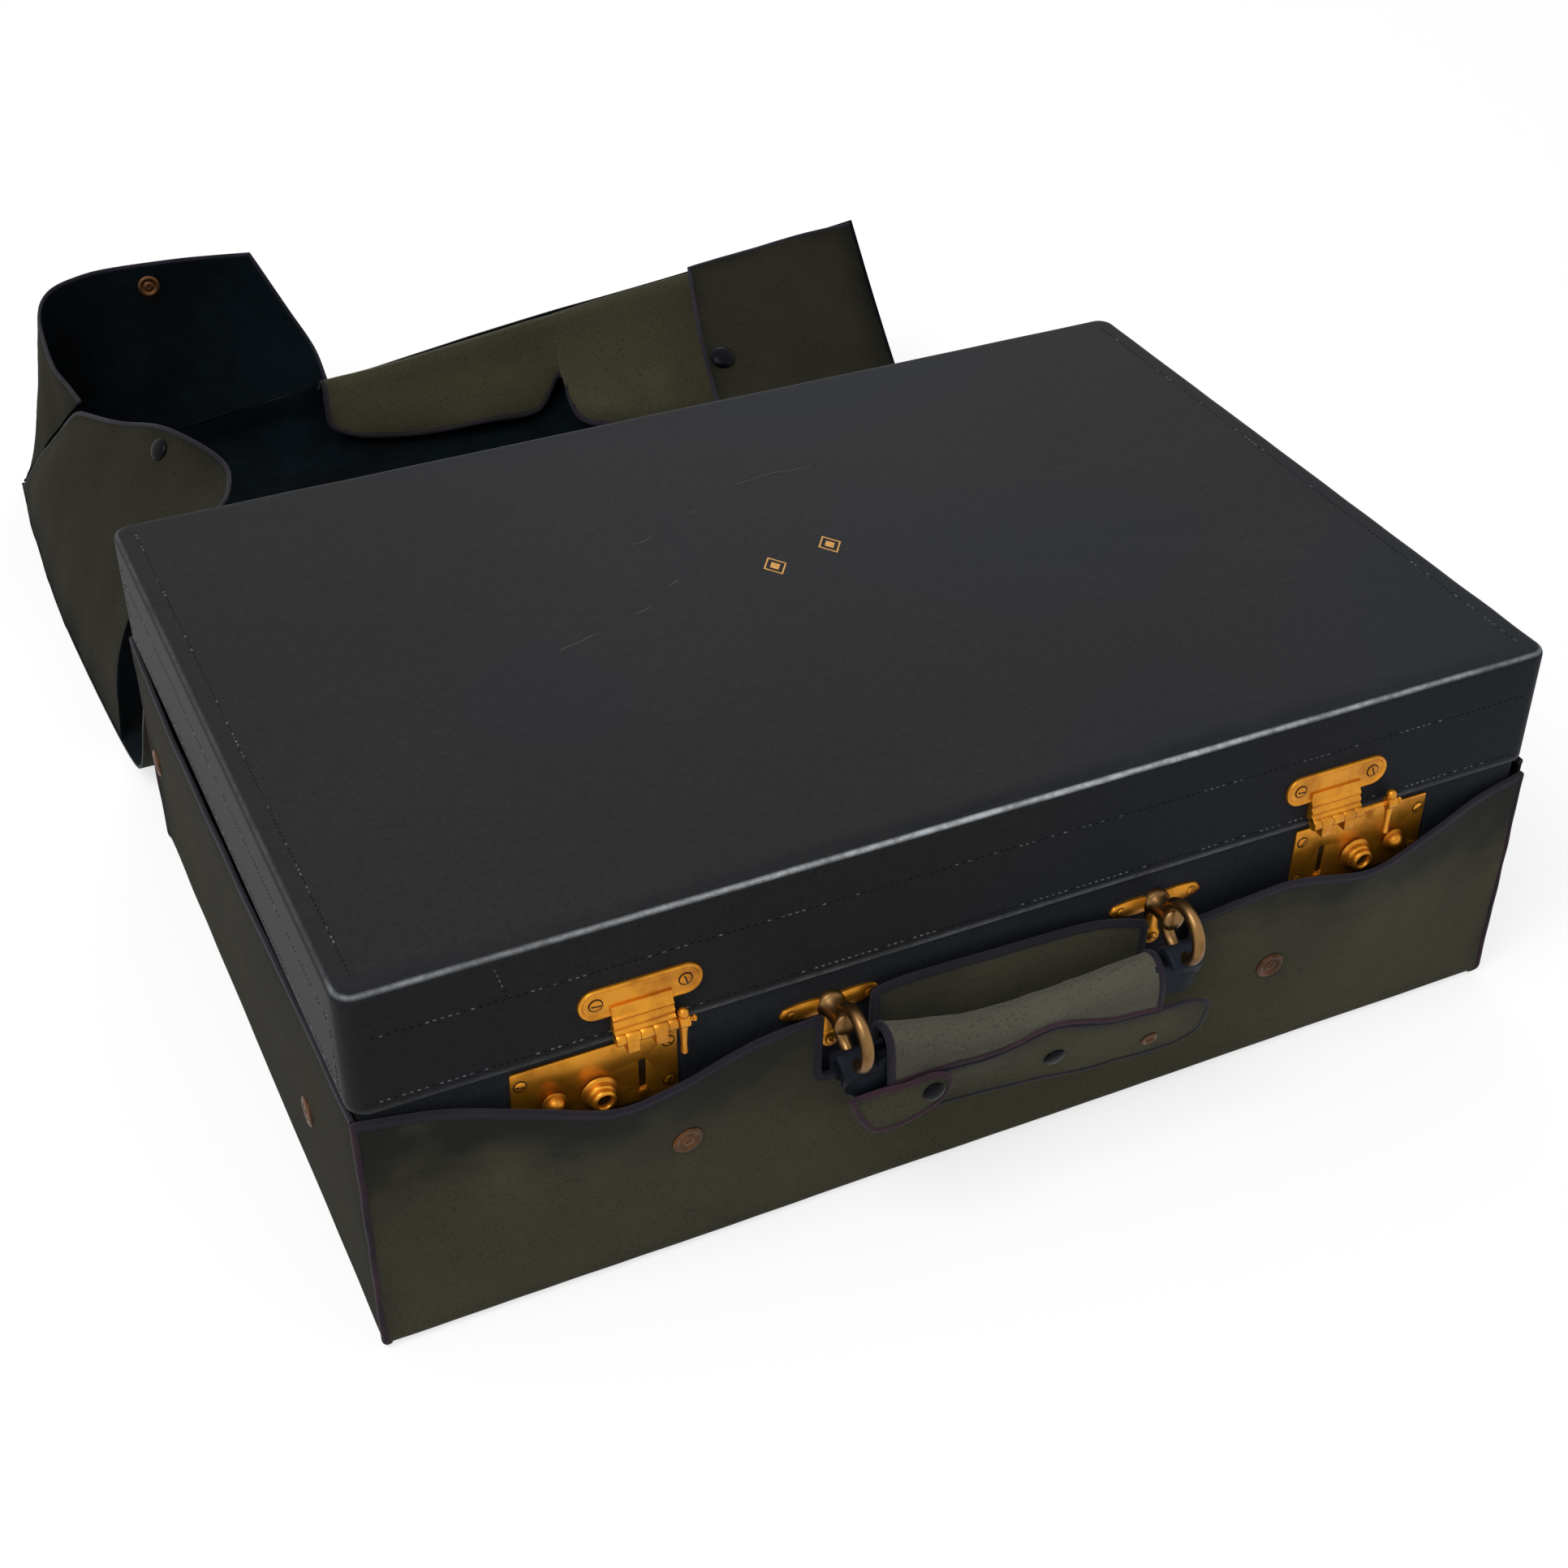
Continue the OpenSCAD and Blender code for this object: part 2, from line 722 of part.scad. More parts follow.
module bracket_screws() {
    color(brass)
        for (side = [-1, 1], p = bracket_screw_places)
            front_screw(bracket_x(side) + p[0], bracket_z + p[1], base_face_y - bracket_t, screw_head_r,
                        bracket_t + leather_t + board_t - 2.5);
}

module handle_ring(side) {
    color(brass)
        torus(bracket_x(side), ring_wire);
}

loop_w = 15;
loop_r = 7.5;
loop_drop = 3;
loop_z = ring_z - ring_r;
loop_stub = 1;
grip_end_gap = 0.3;

// Leather end of the grip, folded round the lowest stretch of its ring
module grip_loop(side) {
    x = -bracket_spacing / 2;
    color(navy)
        translate([handle_x, 0, 0])
            mirror([side > 0 ? 1 : 0, 0, 0])
                difference() {
                    union() {
                        bar_x(x - loop_w / 2, x + loop_w / 2, ring_y, loop_z - loop_drop, loop_r);
                        span([x, ring_y - 6, loop_z - 12],
                             [x + loop_w / 2 + loop_stub, ring_y + 6, loop_z - 1]);
                    }
                    torus(x, ring_wire + ring_gap);
                    bar_x(x - loop_w, x + loop_w, ring_y, ring_z, ring_r - ring_wire - 1.5);
                }
}

// Catmull-Rom curves and sheets

function cr(a, b, c, d, t) =
    0.5 * ((2 * b) + (c - a) * t + (2 * a - 5 * b + 4 * c - d) * t * t + (3 * b - a - 3 * c + d) * t * t * t);

// Point of the curve through a row of points, at s from 0 to 1
function along(pts, s) =
    let (n = len(pts) - 1, f = min(s * n, n - 0.00001), i = floor(f), t = f - i,
         b = pts[i], c = pts[i + 1],
         a = i > 0 ? pts[i - 1] : 2 * b - c,
         d = i + 2 <= n ? pts[i + 2] : 2 * c - b)
    cr(a, b, c, d, t);

// Point of the surface through a net of points
function surf(net, u, v) = along([for (row = net) along(row, v)], u);

function unit(v) = v / norm(v);

function surf_normal(net, u, v) =
    let (h = 0.01,
         u0 = max(u - h, 0), u1 = min(u + h, 1), v0 = max(v - h, 0), v1 = min(v + h, 1))
    unit(cross(surf(net, u1, v) - surf(net, u0, v), surf(net, u, v1) - surf(net, u, v0)));

// Closed sheet of even thickness round the surface through a net of points
module sheet(net, nu, nv, t) {
    m = nv + 1;
    count = (nu + 1) * m;
    face_pts = [for (k = [1, -1], i = [0 : nu], j = [0 : nv])
        surf(net, i / nu, j / nv) + k * t / 2 * surf_normal(net, i / nu, j / nv)];
    function at(k, i, j) = k * count + i * m + j;
    top = [for (i = [0 : nu - 1], j = [0 : nv - 1], h = [0, 1])
        h == 0 ? [at(0, i, j), at(0, i, j + 1), at(0, i + 1, j + 1)]
               : [at(0, i, j), at(0, i + 1, j + 1), at(0, i + 1, j)]];
    bottom = [for (i = [0 : nu - 1], j = [0 : nv - 1], h = [0, 1])
        h == 0 ? [at(1, i, j), at(1, i + 1, j + 1), at(1, i, j + 1)]
               : [at(1, i, j), at(1, i + 1, j), at(1, i + 1, j + 1)]];
    ends = [for (j = [0 : nv - 1], s = [0, 1], h = [0, 1])
        let (i = s * nu, a = at(0, i, j), b = at(0, i, j + 1), c = at(1, i, j + 1), d = at(1, i, j))
        s == 0 ? (h == 0 ? [a, d, c] : [a, c, b]) : (h == 0 ? [a, c, d] : [a, b, c])];
    sides = [for (i = [0 : nu - 1], s = [0, 1], h = [0, 1])
        let (j = s * nv, a = at(0, i, j), b = at(0, i + 1, j), c = at(1, i + 1, j), d = at(1, i, j))
        s == 0 ? (h == 0 ? [a, c, d] : [a, b, c]) : (h == 0 ? [a, d, c] : [a, c, b])];
    polyhedron(points = face_pts, faces = concat(top, bottom, ends, sides), convexity = 8);
}

// Swept oval bar through points, square to X
module oval_bar(pts, ry, rz, rings, sides) {
    ring_pts = [for (i = [0 : rings], j = [0 : sides - 1])
        let (s = i / rings, p = along(pts, s), a = 360 * j / sides,
             swell = 1 - 0.3 * pow(abs(2 * s - 1), 2.5))
        p + [0, ry * swell * cos(a), rz * swell * sin(a)]];
    quads = [for (i = [0 : rings - 1], j = [0 : sides - 1], h = [0, 1])
        let (a = i * sides + j, b = i * sides + (j + 1) % sides, c = a + sides, d = b + sides)
        h == 0 ? [a, c, d] : [a, d, b]];
    cap0 = [for (j = [0 : sides - 1]) j];
    cap1 = [for (j = [sides - 1 : -1 : 0]) rings * sides + j];
    polyhedron(points = ring_pts, faces = concat(quads, [cap0], [cap1]), convexity = 6);
}

grip_x0 = bracket_x(-1) + loop_w / 2 + loop_stub + grip_end_gap;
grip_x1 = bracket_x(1) - loop_w / 2 - loop_stub - grip_end_gap;
grip_len = grip_x1 - grip_x0;
grip_drop = 7;
grip_mid_z = loop_z - grip_drop;
grip_path = [for (p = [[0, 0], [0.25, -2.5], [0.5, -3.5], [0.75, -2], [1, 0]])
    [grip_x0 + grip_len * p[0], ring_y, grip_mid_z + p[1]]];

module handle_grip() {
    color(navy)
        oval_bar(grip_path, grip_y / 2, grip_z / 2, 14, 16);
}

sleeve_t = 1.2;
sleeve_off = 0.9 + sleeve_t / 2;
sleeve_margin = 4;
fold_gap = 0.4;

sleeve_a = grip_y / 2 + sleeve_off;
sleeve_b = grip_z / 2 + sleeve_off;

// One section of the sleeve, over the back, top and front of the grip. Its front ends low under the grip's
// middle, and its top stands up by rise.
function sleeve_row(s, low, rise) =
    let (p = along(grip_path, s), a = sleeve_a, b = sleeve_b, front = b * 0.72 + rise, fall = front + low)
    [for (q = [[a, -b * 0.9], [a * 1.02, 0], [a * 0.75, front], [0, b * 1.02 + rise], [-a * 0.75, front],
               [-a * 1.05, front - fall * 0.36], [-a * 1.05, front - fall * 0.7], [-a * 1.05, -low]])
        [grip_x0 + sleeve_margin + (grip_len - 2 * sleeve_margin) * s, p[1] + q[0], p[2] + q[1]]];

sleeve_lows = [5, 3, 3, -1, 8, 13];
sleeve_rises = [9, 4, 0.5, 0, 0, 0];

module handle_sleeve() {
    color(olive)
        sheet([for (i = [0 : 5]) sleeve_row(i / 5, sleeve_lows[i], sleeve_rises[i])], 12, 16, sleeve_t);
}

// The lower band: it is sewn under the sleeve's front edge and hangs in front of the cover.
// Each row has its place along the grip, the height of the band's face and the depth of the band.
band_back = [0, 2.4, 5.2, 7.2, 8.2];
band_low = grip_mid_z - grip_z / 2 - 5;
band_rows = [[-0.02, 4.5, 25], [0.2, 4.5, 25], [0.4, 2, 25], [0.6, -1, 25], [0.8, -5, 25], [1.17, -12, 21]];
band_edge_gap = 1.8;
band_net = [for (i = [0 : 5])
    let (p = band_rows[i], x = grip_x0 + grip_len * p[0], z = band_low + p[1], deep = p[2],
         mid = along(grip_path, min(max(p[0], 0), 1))[2],
         top = mid - sleeve_lows[i] - band_edge_gap, half_way = z - deep * 0.4,
         heights = [top, (top + half_way) / 2, half_way, z - deep * 0.7, z - deep])
    [for (j = [0 : 4]) [x, ring_y - sleeve_a * 1.05 + band_back[j], heights[j]]]];

module sleeve_band() {
    color(olive)
        sheet(band_net, 12, 5, sleeve_t);
}

// The folded tab at the left end
tab_x = bracket_x(-1);
tab_y = ring_y - grip_y / 2 - sleeve_off - sleeve_t - 2.9;
tab_z = grip_mid_z - grip_z / 2;
tab_net = [for (row = [[[-6, 2.2, 3.2], [-1, 3.2, -9], [6, 4.2, -21]],
                       [[7, 2, 4], [12, 2, -8], [19, 2, -19]],
                       [[21, 0, 5], [26, 0, -5], [31, 1, -14]],
                       [[35, -1, 8], [39, -1, 1], [41, 0, -5]]])
    [for (p = row) [tab_x + p[0], tab_y + p[1], tab_z + p[2]]]];

module sleeve_tab() {
    color(olive)
        sheet(tab_net, 8, 5, sleeve_t);
}

module sleeve_snaps() {
    color(brass) {
        snap_on(band_net, 0.62, 0.5, -1, 5, 2.2, 0);
        snap_on(band_net, 0.897, 0.58, -1, 4, 1.6, 1.8);
        snap_on(tab_net, 0.8, 0.5, -1, 5, 1.8, 0);
    }
}

// Cover, lower half

tray_in_l = base_l + 2 * cover_gap;
tray_in_d = base_d + 2 * cover_gap;
tray_out_l = tray_in_l + 2 * canvas_t;
tray_out_d = tray_in_d + 2 * canvas_t;
wall_z0 = canvas_t + seam_gap;

module tray_bottom() {
    color(olive)
        upright_box(tray_out_l, tray_out_d, 0, canvas_t, base_r + cover_gap + canvas_t);
}

// Side wall of the cover: its top edge leans out a little towards the back
side_wall_y0 = -tray_out_d / 2 + canvas_t + seam_gap;
side_wall_y1 = tray_out_d / 2 - canvas_t - seam_gap;
side_edge = [[0, 0, 0], [0.25, 1, -1], [0.5, 2, -2], [0.75, 2.5, -1], [1, 1, 0]];

function side_net(side) =
    let (x = side * (tray_in_l / 2 + canvas_t / 2))
    [for (p = side_edge)
        let (y = side_wall_y0 + (side_wall_y1 - side_wall_y0) * p[0])
        [[x, y, wall_z0], [x, y, side_wall_h * 0.32], [x + side * p[1] * 0.5, y, side_wall_h * 0.66],
         [x + side * p[1], y, side_wall_h + p[2]]]];

module side_wall(side) {
    color(olive)
        sheet(side_net(side), 10, 8, canvas_t);
}

module tray_left_wall() {
    side_wall(-1);
}

module tray_right_wall() {
    side_wall(1);
}

module tray_back_wall() {
    y = tray_in_d / 2;
    color(olive)
        span([-tray_out_l / 2 + canvas_t + seam_gap, y, wall_z0],
             [tray_out_l / 2 - canvas_t - seam_gap, y + canvas_t, back_wall_h]);
}

// Waved top edge of the front wall: place along the wall, drop below the seam and how far it stands out.
// Place 1 is the wall's end, and lock_place the middle of a lock, so that the waves follow the locks.
lock_place = 0.6626;
front_edge = [[-1, 3, 0], [-0.88, 8, 3], [-0.76, 17, 9], [-0.65, 27, 12], [-0.55, 25, 11],
              [-0.42, 19, 7], [-0.28, 16, 6], [-0.18, 12, 4], [0, 13, 4], [0.18, 16, 4], [0.32, 28, 6],
              [0.42, 24, 9], [0.52, 21, 11], [0.66, 28, 12], [0.78, 20, 9], [0.9, 13, 3], [1, 9, 0]];
bracket_slot_left = 7;
bracket_slot_right = 17;
bracket_slot_low = bracket_z - foot_screw_drop - 16;
front_wall_y = -tray_in_d / 2 - canvas_t / 2;
front_wall_half = tray_out_l / 2 - 0.5;

function edge_x(s) =
    let (side = s < 0 ? -1 : 1, place = lock_at(side), past = (abs(s) - lock_place) / (1 - lock_place))
    past <= 0 ? abs(s) / lock_place * place : place + past * (side * front_wall_half - place);

front_net = [for (p = front_edge)
    let (x = edge_x(p[0]))
    [[x, front_wall_y, wall_z0], [x, front_wall_y - p[2] * 0.15, 30],
     [x, front_wall_y - p[2] * 0.5, 70], [x, front_wall_y - p[2], seam_z - p[1]]]];

module tray_front_wall() {
    color(olive)
        difference() {
            sheet(front_net, 36, 8, canvas_t);
            for (side = [-1, 1])
                translate([bracket_x(side) - bracket_slot_left, front_wall_y - 20, bracket_slot_low])
                    cube([bracket_slot_left + bracket_slot_right, 40, 100]);
        }
}

// Press-stud part on a sheet, at u and v of its net, standing off one side of it
module snap_on(net, u, v, k, r, h, eye) {
    p = surf(net, u, v);
    n = k * surf_normal(net, u, v);
    translate(p + n * (canvas_t / 2 + snap_gap))
        rotate([0, acos(n[2]), atan2(n[1], n[0])])
            difference() {
                cylinder(r = r, h = h);
                if (eye > 0)
                    translate([0, 0, h / 2])
                        cylinder(r = eye, h = h);
            }
}

snap_gap = 0.35;
socket_h = 1.4;
front_sockets = [[0.26, 0.66], [0.744, 0.57]];
side_sockets = [[0.227, 0.475], [0.968, 0.475]];

module tray_snap_sockets() {
    color(brass) {
        for (p = front_sockets)
            snap_on(front_net, p[0], p[1], 1, snap_r, socket_h, snap_r * 0.45);
        for (side = [-1, 1], p = side_sockets)
            snap_on(side_net(side), p[0], p[1], side, snap_r, socket_h, snap_r * 0.45);
    }
}

// Cover, upper half, thrown back. The nets follow the photographed folds. Their x is given for a case
// of the standard length and stretches with it, and their y is measured from the case's back.

std_half_l = 280;

function place(p) = [(p[0] - std_half_l) * case_l / (2 * std_half_l), p[1] + case_d / 2, p[2]];
function placed(net) = [for (row = net) [for (p = row) place(p)]];

flap_hinge_z = back_wall_h - 2;
flap_hinge_y = tray_out_d / 2 + canvas_t * 0.4 + seam_gap - case_d / 2;

panel_x = [1, 110, 220, 330, 440, 559];
panel_shift = [[0, 0], [-1, 0], [-3, 0], [-5, 0], [-8, 0], [-9, 0], [-6, -1], [-3, -1], [0, 0]];
panel_yz = [
    [[flap_hinge_y, 0], [22, 0], [48, 0], [95, 0], [180, 0], [260, 0], [340, 0], [385, 0], [420, 0]],
    [[flap_hinge_y, 0], [22, 0], [48, 0], [95, 0], [180, 0], [260, 0], [347, 1], [394, 8], [403, 26]],
    [[flap_hinge_y, 0], [22, 0], [48, 0], [95, 0], [180, 0], [260, 0], [342, 1], [378, 20], [384, 50]],
    [[flap_hinge_y, 0], [22, 0], [48, 0], [95, 0], [180, 0], [250, 0], [324, 3], [358, 34], [364, 75]],
    [[flap_hinge_y, 0], [22, 0], [48, 0], [95, 0], [180, 0], [222, 2], [280, 18], [324, 58], [339, 99]],
    [[flap_hinge_y, 0], [22, 0], [48, 0], [92, 1], [165, 3], [195, 13], [232, 35], [275, 78], [317, 125]]];
panel_low = 1.6;
panel_rise = [flap_hinge_z, flap_hinge_z * 0.65, flap_hinge_z * 0.18, 3,
              panel_low, panel_low, panel_low, panel_low, panel_low];

function panel_net() =
    [for (r = [0 : 8])
        [for (c = [0 : 5])
            [panel_x[c] + (c < 2 ? panel_shift[r][c] : 0), panel_yz[c][r][0],
             panel_rise[r] + panel_yz[c][r][1]]]];

// Point near the panel at x, up from its surface and out past its far edge
function on_panel(x, u, up, out = 0) =
    let (net = panel_net(), v = lookup(x, [for (c = [0 : 5]) [panel_x[c], c / 5]]), p = surf(net, u, v))
    p - up * surf_normal(net, u, v) + out * unit(p - surf(net, u - 0.02, v));

right_seam_x = panel_x[5] - 2;
stretch_mid_x = panel_x[1];
stretch_end_x = 204;
stand = canvas_t / 2 + fold_gap;
folded = canvas_t + fold_gap;

module flap_panel() {
    color(lining_colour)
        sheet(placed(panel_net()), 24, 12, canvas_t);
}

left_wall_net = [
    [on_panel(2, 0.382, stand + 0.1), [6, 104, 54], [32, 105, 98], [76, 108, 128]],
    [on_panel(2, 0.5, stand + 0.1), [8, 176, 52], [38, 165, 98], [86, 150, 131]],
    [on_panel(2, 0.625, stand + 0.1), [8, 248, 50], [34, 224, 95], [66, 198, 134]],
    [on_panel(2, 0.75, stand + 0.1), [8, 322, 48], [26, 290, 88], [46, 250, 118]],
    [on_panel(2, 0.979, stand + 0.1), [11, 380, 38], [22, 345, 70], [32, 308, 101]]];

module flap_left_wall() {
    color(olive)
        sheet(placed(left_wall_net), 16, 8, canvas_t);
}

front_wall_net = [
    [on_panel(4, 1, stand + 0.7), [14, 386, 39], [25, 351, 72], [35, 314, 104]],
    [on_panel(12, 1, stand + 0.2), [18, 410, 52], [24, 390, 88], [28, 365, 113]],
    [on_panel(32, 1, stand, 0.3), [31, 423, 54], [32, 421, 94], [36, 418, 126]],
    [on_panel(60, 1, stand * 0.8, 0.6), [62, 423, 58], [64, 430, 96], [66, 433, 132]],
    [on_panel(stretch_mid_x, 1, 0, fold_gap + 0.3), [stretch_mid_x + 4, 416, 66],
     [stretch_mid_x + 8, 427, 100], [stretch_mid_x + 12, 432, 132]],
    [on_panel(stretch_end_x, 1, 0, fold_gap + 0.7), [stretch_end_x - 2, 405, 66],
     [stretch_end_x - 14, 417, 92], [stretch_end_x - 32, 424, 131]]];

module flap_front_wall() {
    color(lining_colour)
        sheet(placed(front_wall_net), 18, 8, canvas_t);
}

strip_falls = [
    [[198, 375, 55], [197, 369, 43], [197, 366, 31], [200, 363, 20]],
    [[250, 365, 63], [250, 359, 47], [250, 354, 31], [250, 351, 16]],
    [[300, 356, 73], [300, 350, 55], [300, 344, 38], [300, 339, 21]],
    [[334, 350, 80], [334, 345, 60], [334, 340, 41], [334, 336, 23]],
    [[351, 346, 84], [351, 342, 71], [351, 338, 58], [351, 334, 46]],
    [[368, 342, 88], [368, 334, 64], [369, 320, 41], [372, 300, 21]],
    [[420, 331, 99], [421, 318, 73], [423, 298, 47], [428, 270, 26]],
    [[470, 321, 108], [471, 305, 84], [473, 280, 57], [478, 246, 33]]];
strip_net = [for (row = strip_falls) concat([on_panel(row[0][0], 0.99, folded)], row)];

module flap_front_strip() {
    color(olive)
        sheet(placed(strip_net), 21, 8, canvas_t);
}

right_wall_net = [
    [on_panel(right_seam_x, 0.99, folded), [521, 317, 129], [481, 322, 123], [442, 328, 115]],
    [on_panel(right_seam_x, 0.875, folded), [516, 276, 93], [471, 277, 94], [427, 276, 91]],
    [on_panel(right_seam_x, 0.75, folded), [511, 232, 62], [464, 235, 67], [420, 237, 67]],
    [on_panel(right_seam_x, 0.625, folded), [509, 198, 46], [461, 203, 54], [416, 210, 57]],
    [on_panel(right_seam_x, 0.5, folded), [508, 168, 36], [460, 173, 45], [413, 182, 49]],
    [on_panel(right_seam_x, 0.4, folded), [505, 112, 20], [460, 120, 28], [415, 132, 34]]];

module flap_right_wall() {
    color(olive)
        sheet(placed(right_wall_net), 15, 9, canvas_t);
}

module flap_snap_caps() {
    color(navy) {
        snap_on(placed(left_wall_net), 0.52, 0.86, -1, snap_r - 1, 2.4, 0);
        snap_on(placed(right_wall_net), 0.27, 0.93, -1, snap_r, 2.6, 0);
        snap_on(placed(front_wall_net), 0.9, 0.86, 1, snap_r - 1, 1.6, 0);
    }
}

base_frame();
base_leather();
base_lining();
base_lip();
lid_frame();
lid_leather();
lid_lining();
hinge_base_leaves();
hinge_lid_leaves();
hinge_pins();
hinge_base_screws();
hinge_lid_screws();
lock_plate(-1);  // left_lock_plate
lock_plate(1);  // right_lock_plate
lock_case(-1);  // left_lock_case
lock_case(1);  // right_lock_case
lock_bolt(-1);  // left_lock_bolt
lock_bolt(1);  // right_lock_bolt
bolt_knob(-1);  // left_bolt_knob
bolt_knob(1);  // right_bolt_knob
release_button(-1);  // left_release_button
release_button(1);  // right_release_button
lock_springs();
lock_screws();
hasp(-1);  // left_hasp
hasp(1);  // right_hasp
cross_pin(-1);  // left_cross_pin
cross_pin(1);  // right_cross_pin
hasp_screws();
handle_bracket(-1);  // left_handle_bracket
handle_bracket(1);  // right_handle_bracket
bracket_screws();
handle_ring(-1);  // left_handle_ring
handle_ring(1);  // right_handle_ring
handle_grip();
grip_loop(-1);  // left_grip_loop
grip_loop(1);  // right_grip_loop
handle_sleeve();
sleeve_band();
sleeve_tab();
sleeve_snaps();
tray_bottom();
tray_front_wall();
tray_back_wall();
tray_left_wall();
tray_right_wall();
tray_snap_sockets();
flap_panel();
flap_left_wall();
flap_front_wall();
flap_front_strip();
flap_right_wall();
flap_snap_caps();
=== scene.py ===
"""Looks of the leather suitcase in its fitted canvas cover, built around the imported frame."""

import json
import math

import bmesh
import bpy
import numpy as np
from mathutils import Matrix, Vector


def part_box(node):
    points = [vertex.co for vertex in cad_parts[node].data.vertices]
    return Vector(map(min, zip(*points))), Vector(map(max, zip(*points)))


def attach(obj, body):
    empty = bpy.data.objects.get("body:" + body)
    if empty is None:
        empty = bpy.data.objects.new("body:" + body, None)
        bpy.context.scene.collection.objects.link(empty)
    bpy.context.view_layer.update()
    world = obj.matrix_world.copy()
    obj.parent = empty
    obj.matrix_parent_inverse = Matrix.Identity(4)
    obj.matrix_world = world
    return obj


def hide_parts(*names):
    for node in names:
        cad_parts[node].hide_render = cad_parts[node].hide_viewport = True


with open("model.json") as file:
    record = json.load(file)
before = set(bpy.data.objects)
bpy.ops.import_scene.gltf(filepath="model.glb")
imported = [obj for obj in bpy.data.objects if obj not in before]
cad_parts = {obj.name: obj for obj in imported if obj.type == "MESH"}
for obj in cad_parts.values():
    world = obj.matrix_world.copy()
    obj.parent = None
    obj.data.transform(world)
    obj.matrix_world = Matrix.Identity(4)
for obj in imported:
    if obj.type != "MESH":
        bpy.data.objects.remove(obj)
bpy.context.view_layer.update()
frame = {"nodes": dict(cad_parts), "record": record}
nodes = frame["nodes"]

# Lengths below are in millimetres in the row frame, and MM turns them into Blender's metres
MM = 0.001
TAU = 2 * math.pi
X = np.array([1.0, 0, 0])
Y = np.array([0, 1.0, 0])
Z = np.array([0, 0, 1.0])
FRONT = -Y


def box_mm(node):
    """Lowest and highest corner of a CAD node, in millimetres."""
    low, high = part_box(node)
    return np.array(low) / MM, np.array(high) / MM


def middle_mm(node):
    low, high = box_mm(node)
    return (low + high) / 2


# Main sizes, read from the frame
lid_low, lid_high = box_mm("lid_leather")
base_low, base_high = box_mm("base_leather")
case_l = lid_high[0] - lid_low[0]
case_d = lid_high[1] - lid_low[1]
case_h = lid_high[2]
lid_z = lid_low[2]
seam_z = base_high[2]
base_face_y = base_low[1]
lid_face_y = lid_low[1]
tray_low, tray_high = box_mm("tray_bottom")
tray_l = tray_high[0] - tray_low[0]
tray_d = tray_high[1] - tray_low[1]
canvas_t = tray_high[2]

# Details of the cover and the lid that the frame doesn't hold
CORNER_R = 9
EDGE_R = 3.5
SEAM_GAP = 0.4
FOLD_GAP = 0.4
TUCK_R = 6
STD_HALF_L = 280


# Curves and surfaces


def unit(v):
    v = np.asarray(v, float)
    return v / np.maximum(np.linalg.norm(v, axis=-1, keepdims=True), 1e-12)


def extended(points):
    return np.concatenate([[2 * points[0] - points[1]], points, [2 * points[-1] - points[-2]]])


def stretch_of(share, count):
    """Which stretch each share lies in, and the Catmull-Rom weights of the four points round it."""
    f = np.clip(share * count, 0, count - 1e-6)
    i = np.floor(f).astype(int)
    t = f - i
    t2, t3 = t * t, t**3
    return i, np.stack([-t + 2 * t2 - t3, 2 - 5 * t2 + 3 * t3, t + 4 * t2 - 3 * t3, t3 - t2], -1) / 2


def curve(points, s):
    """Catmull-Rom curve through points, at the shares s from 0 to 1."""
    p = np.asarray(points, float)
    i, w = stretch_of(np.asarray(s, float), len(p) - 1)
    ext = extended(p)
    return sum(w[..., k, None] * ext[i + k] for k in range(4))


def patch(net, u, v):
    """Points of the Catmull-Rom surface through a net, at arrays of shares u and v."""
    net = np.asarray(net, float)
    i, wu = stretch_of(np.asarray(u, float), len(net) - 1)
    j, wv = stretch_of(np.asarray(v, float), len(net[0]) - 1)
    ext = extended(extended(net).transpose(1, 0, 2)).transpose(1, 0, 2)
    pairs = [(a, b) for a in range(4) for b in range(4)]
    return sum((wu[..., a] * wv[..., b])[..., None] * ext[i + a, j + b] for a, b in pairs)


def patch_normal(net, u, v):
    h = 0.01
    du = patch(net, np.minimum(u + h, 1), v) - patch(net, np.maximum(u - h, 0), v)
    dv = patch(net, u, np.minimum(v + h, 1)) - patch(net, u, np.maximum(v - h, 0))
    return unit(np.cross(du, dv))


RIPPLE_WAVES = 7


def ripple(p, seed, length):
    """Smooth noise of about -1 to 1 at points p, with waves about length long. It is the same each run."""
    rng = np.random.default_rng(seed)
    total = np.zeros(p.shape[:-1])
    for _ in range(RIPPLE_WAVES):
        k = unit(rng.normal(size=3)) * TAU / length * rng.uniform(0.6, 1.5)
        total += np.sin(p @ k + rng.uniform(0, TAU))
    return total / (RIPPLE_WAVES / 2)


def resample(points, pitch):
    """Points along a polyline, pitch apart."""
    p = np.asarray(points, float)
    run = np.concatenate([[0], np.cumsum(np.linalg.norm(np.diff(p, axis=0), axis=1))])
    at = np.linspace(0, run[-1], max(2, int(round(run[-1] / pitch)) + 1))
    return np.stack([np.interp(at, run, p[:, k]) for k in range(p.shape[1])], -1)


def fillet(points, radius, steps=4):
    """A polyline with its inner corners rounded."""
    p = [np.asarray(q, float) for q in points]
    out = [p[0]]
    for a, b, c in zip(p, p[1:], p[2:]):
        r = min(radius, np.linalg.norm(a - b) / 2, np.linalg.norm(c - b) / 2)
        start, end = b + unit(a - b) * r, b + unit(c - b) * r
        for k in range(steps + 1):
            t = k / steps
            out.append((1 - t) ** 2 * start + 2 * t * (1 - t) * b + t * t * end)
    return np.array([*out, p[-1]])


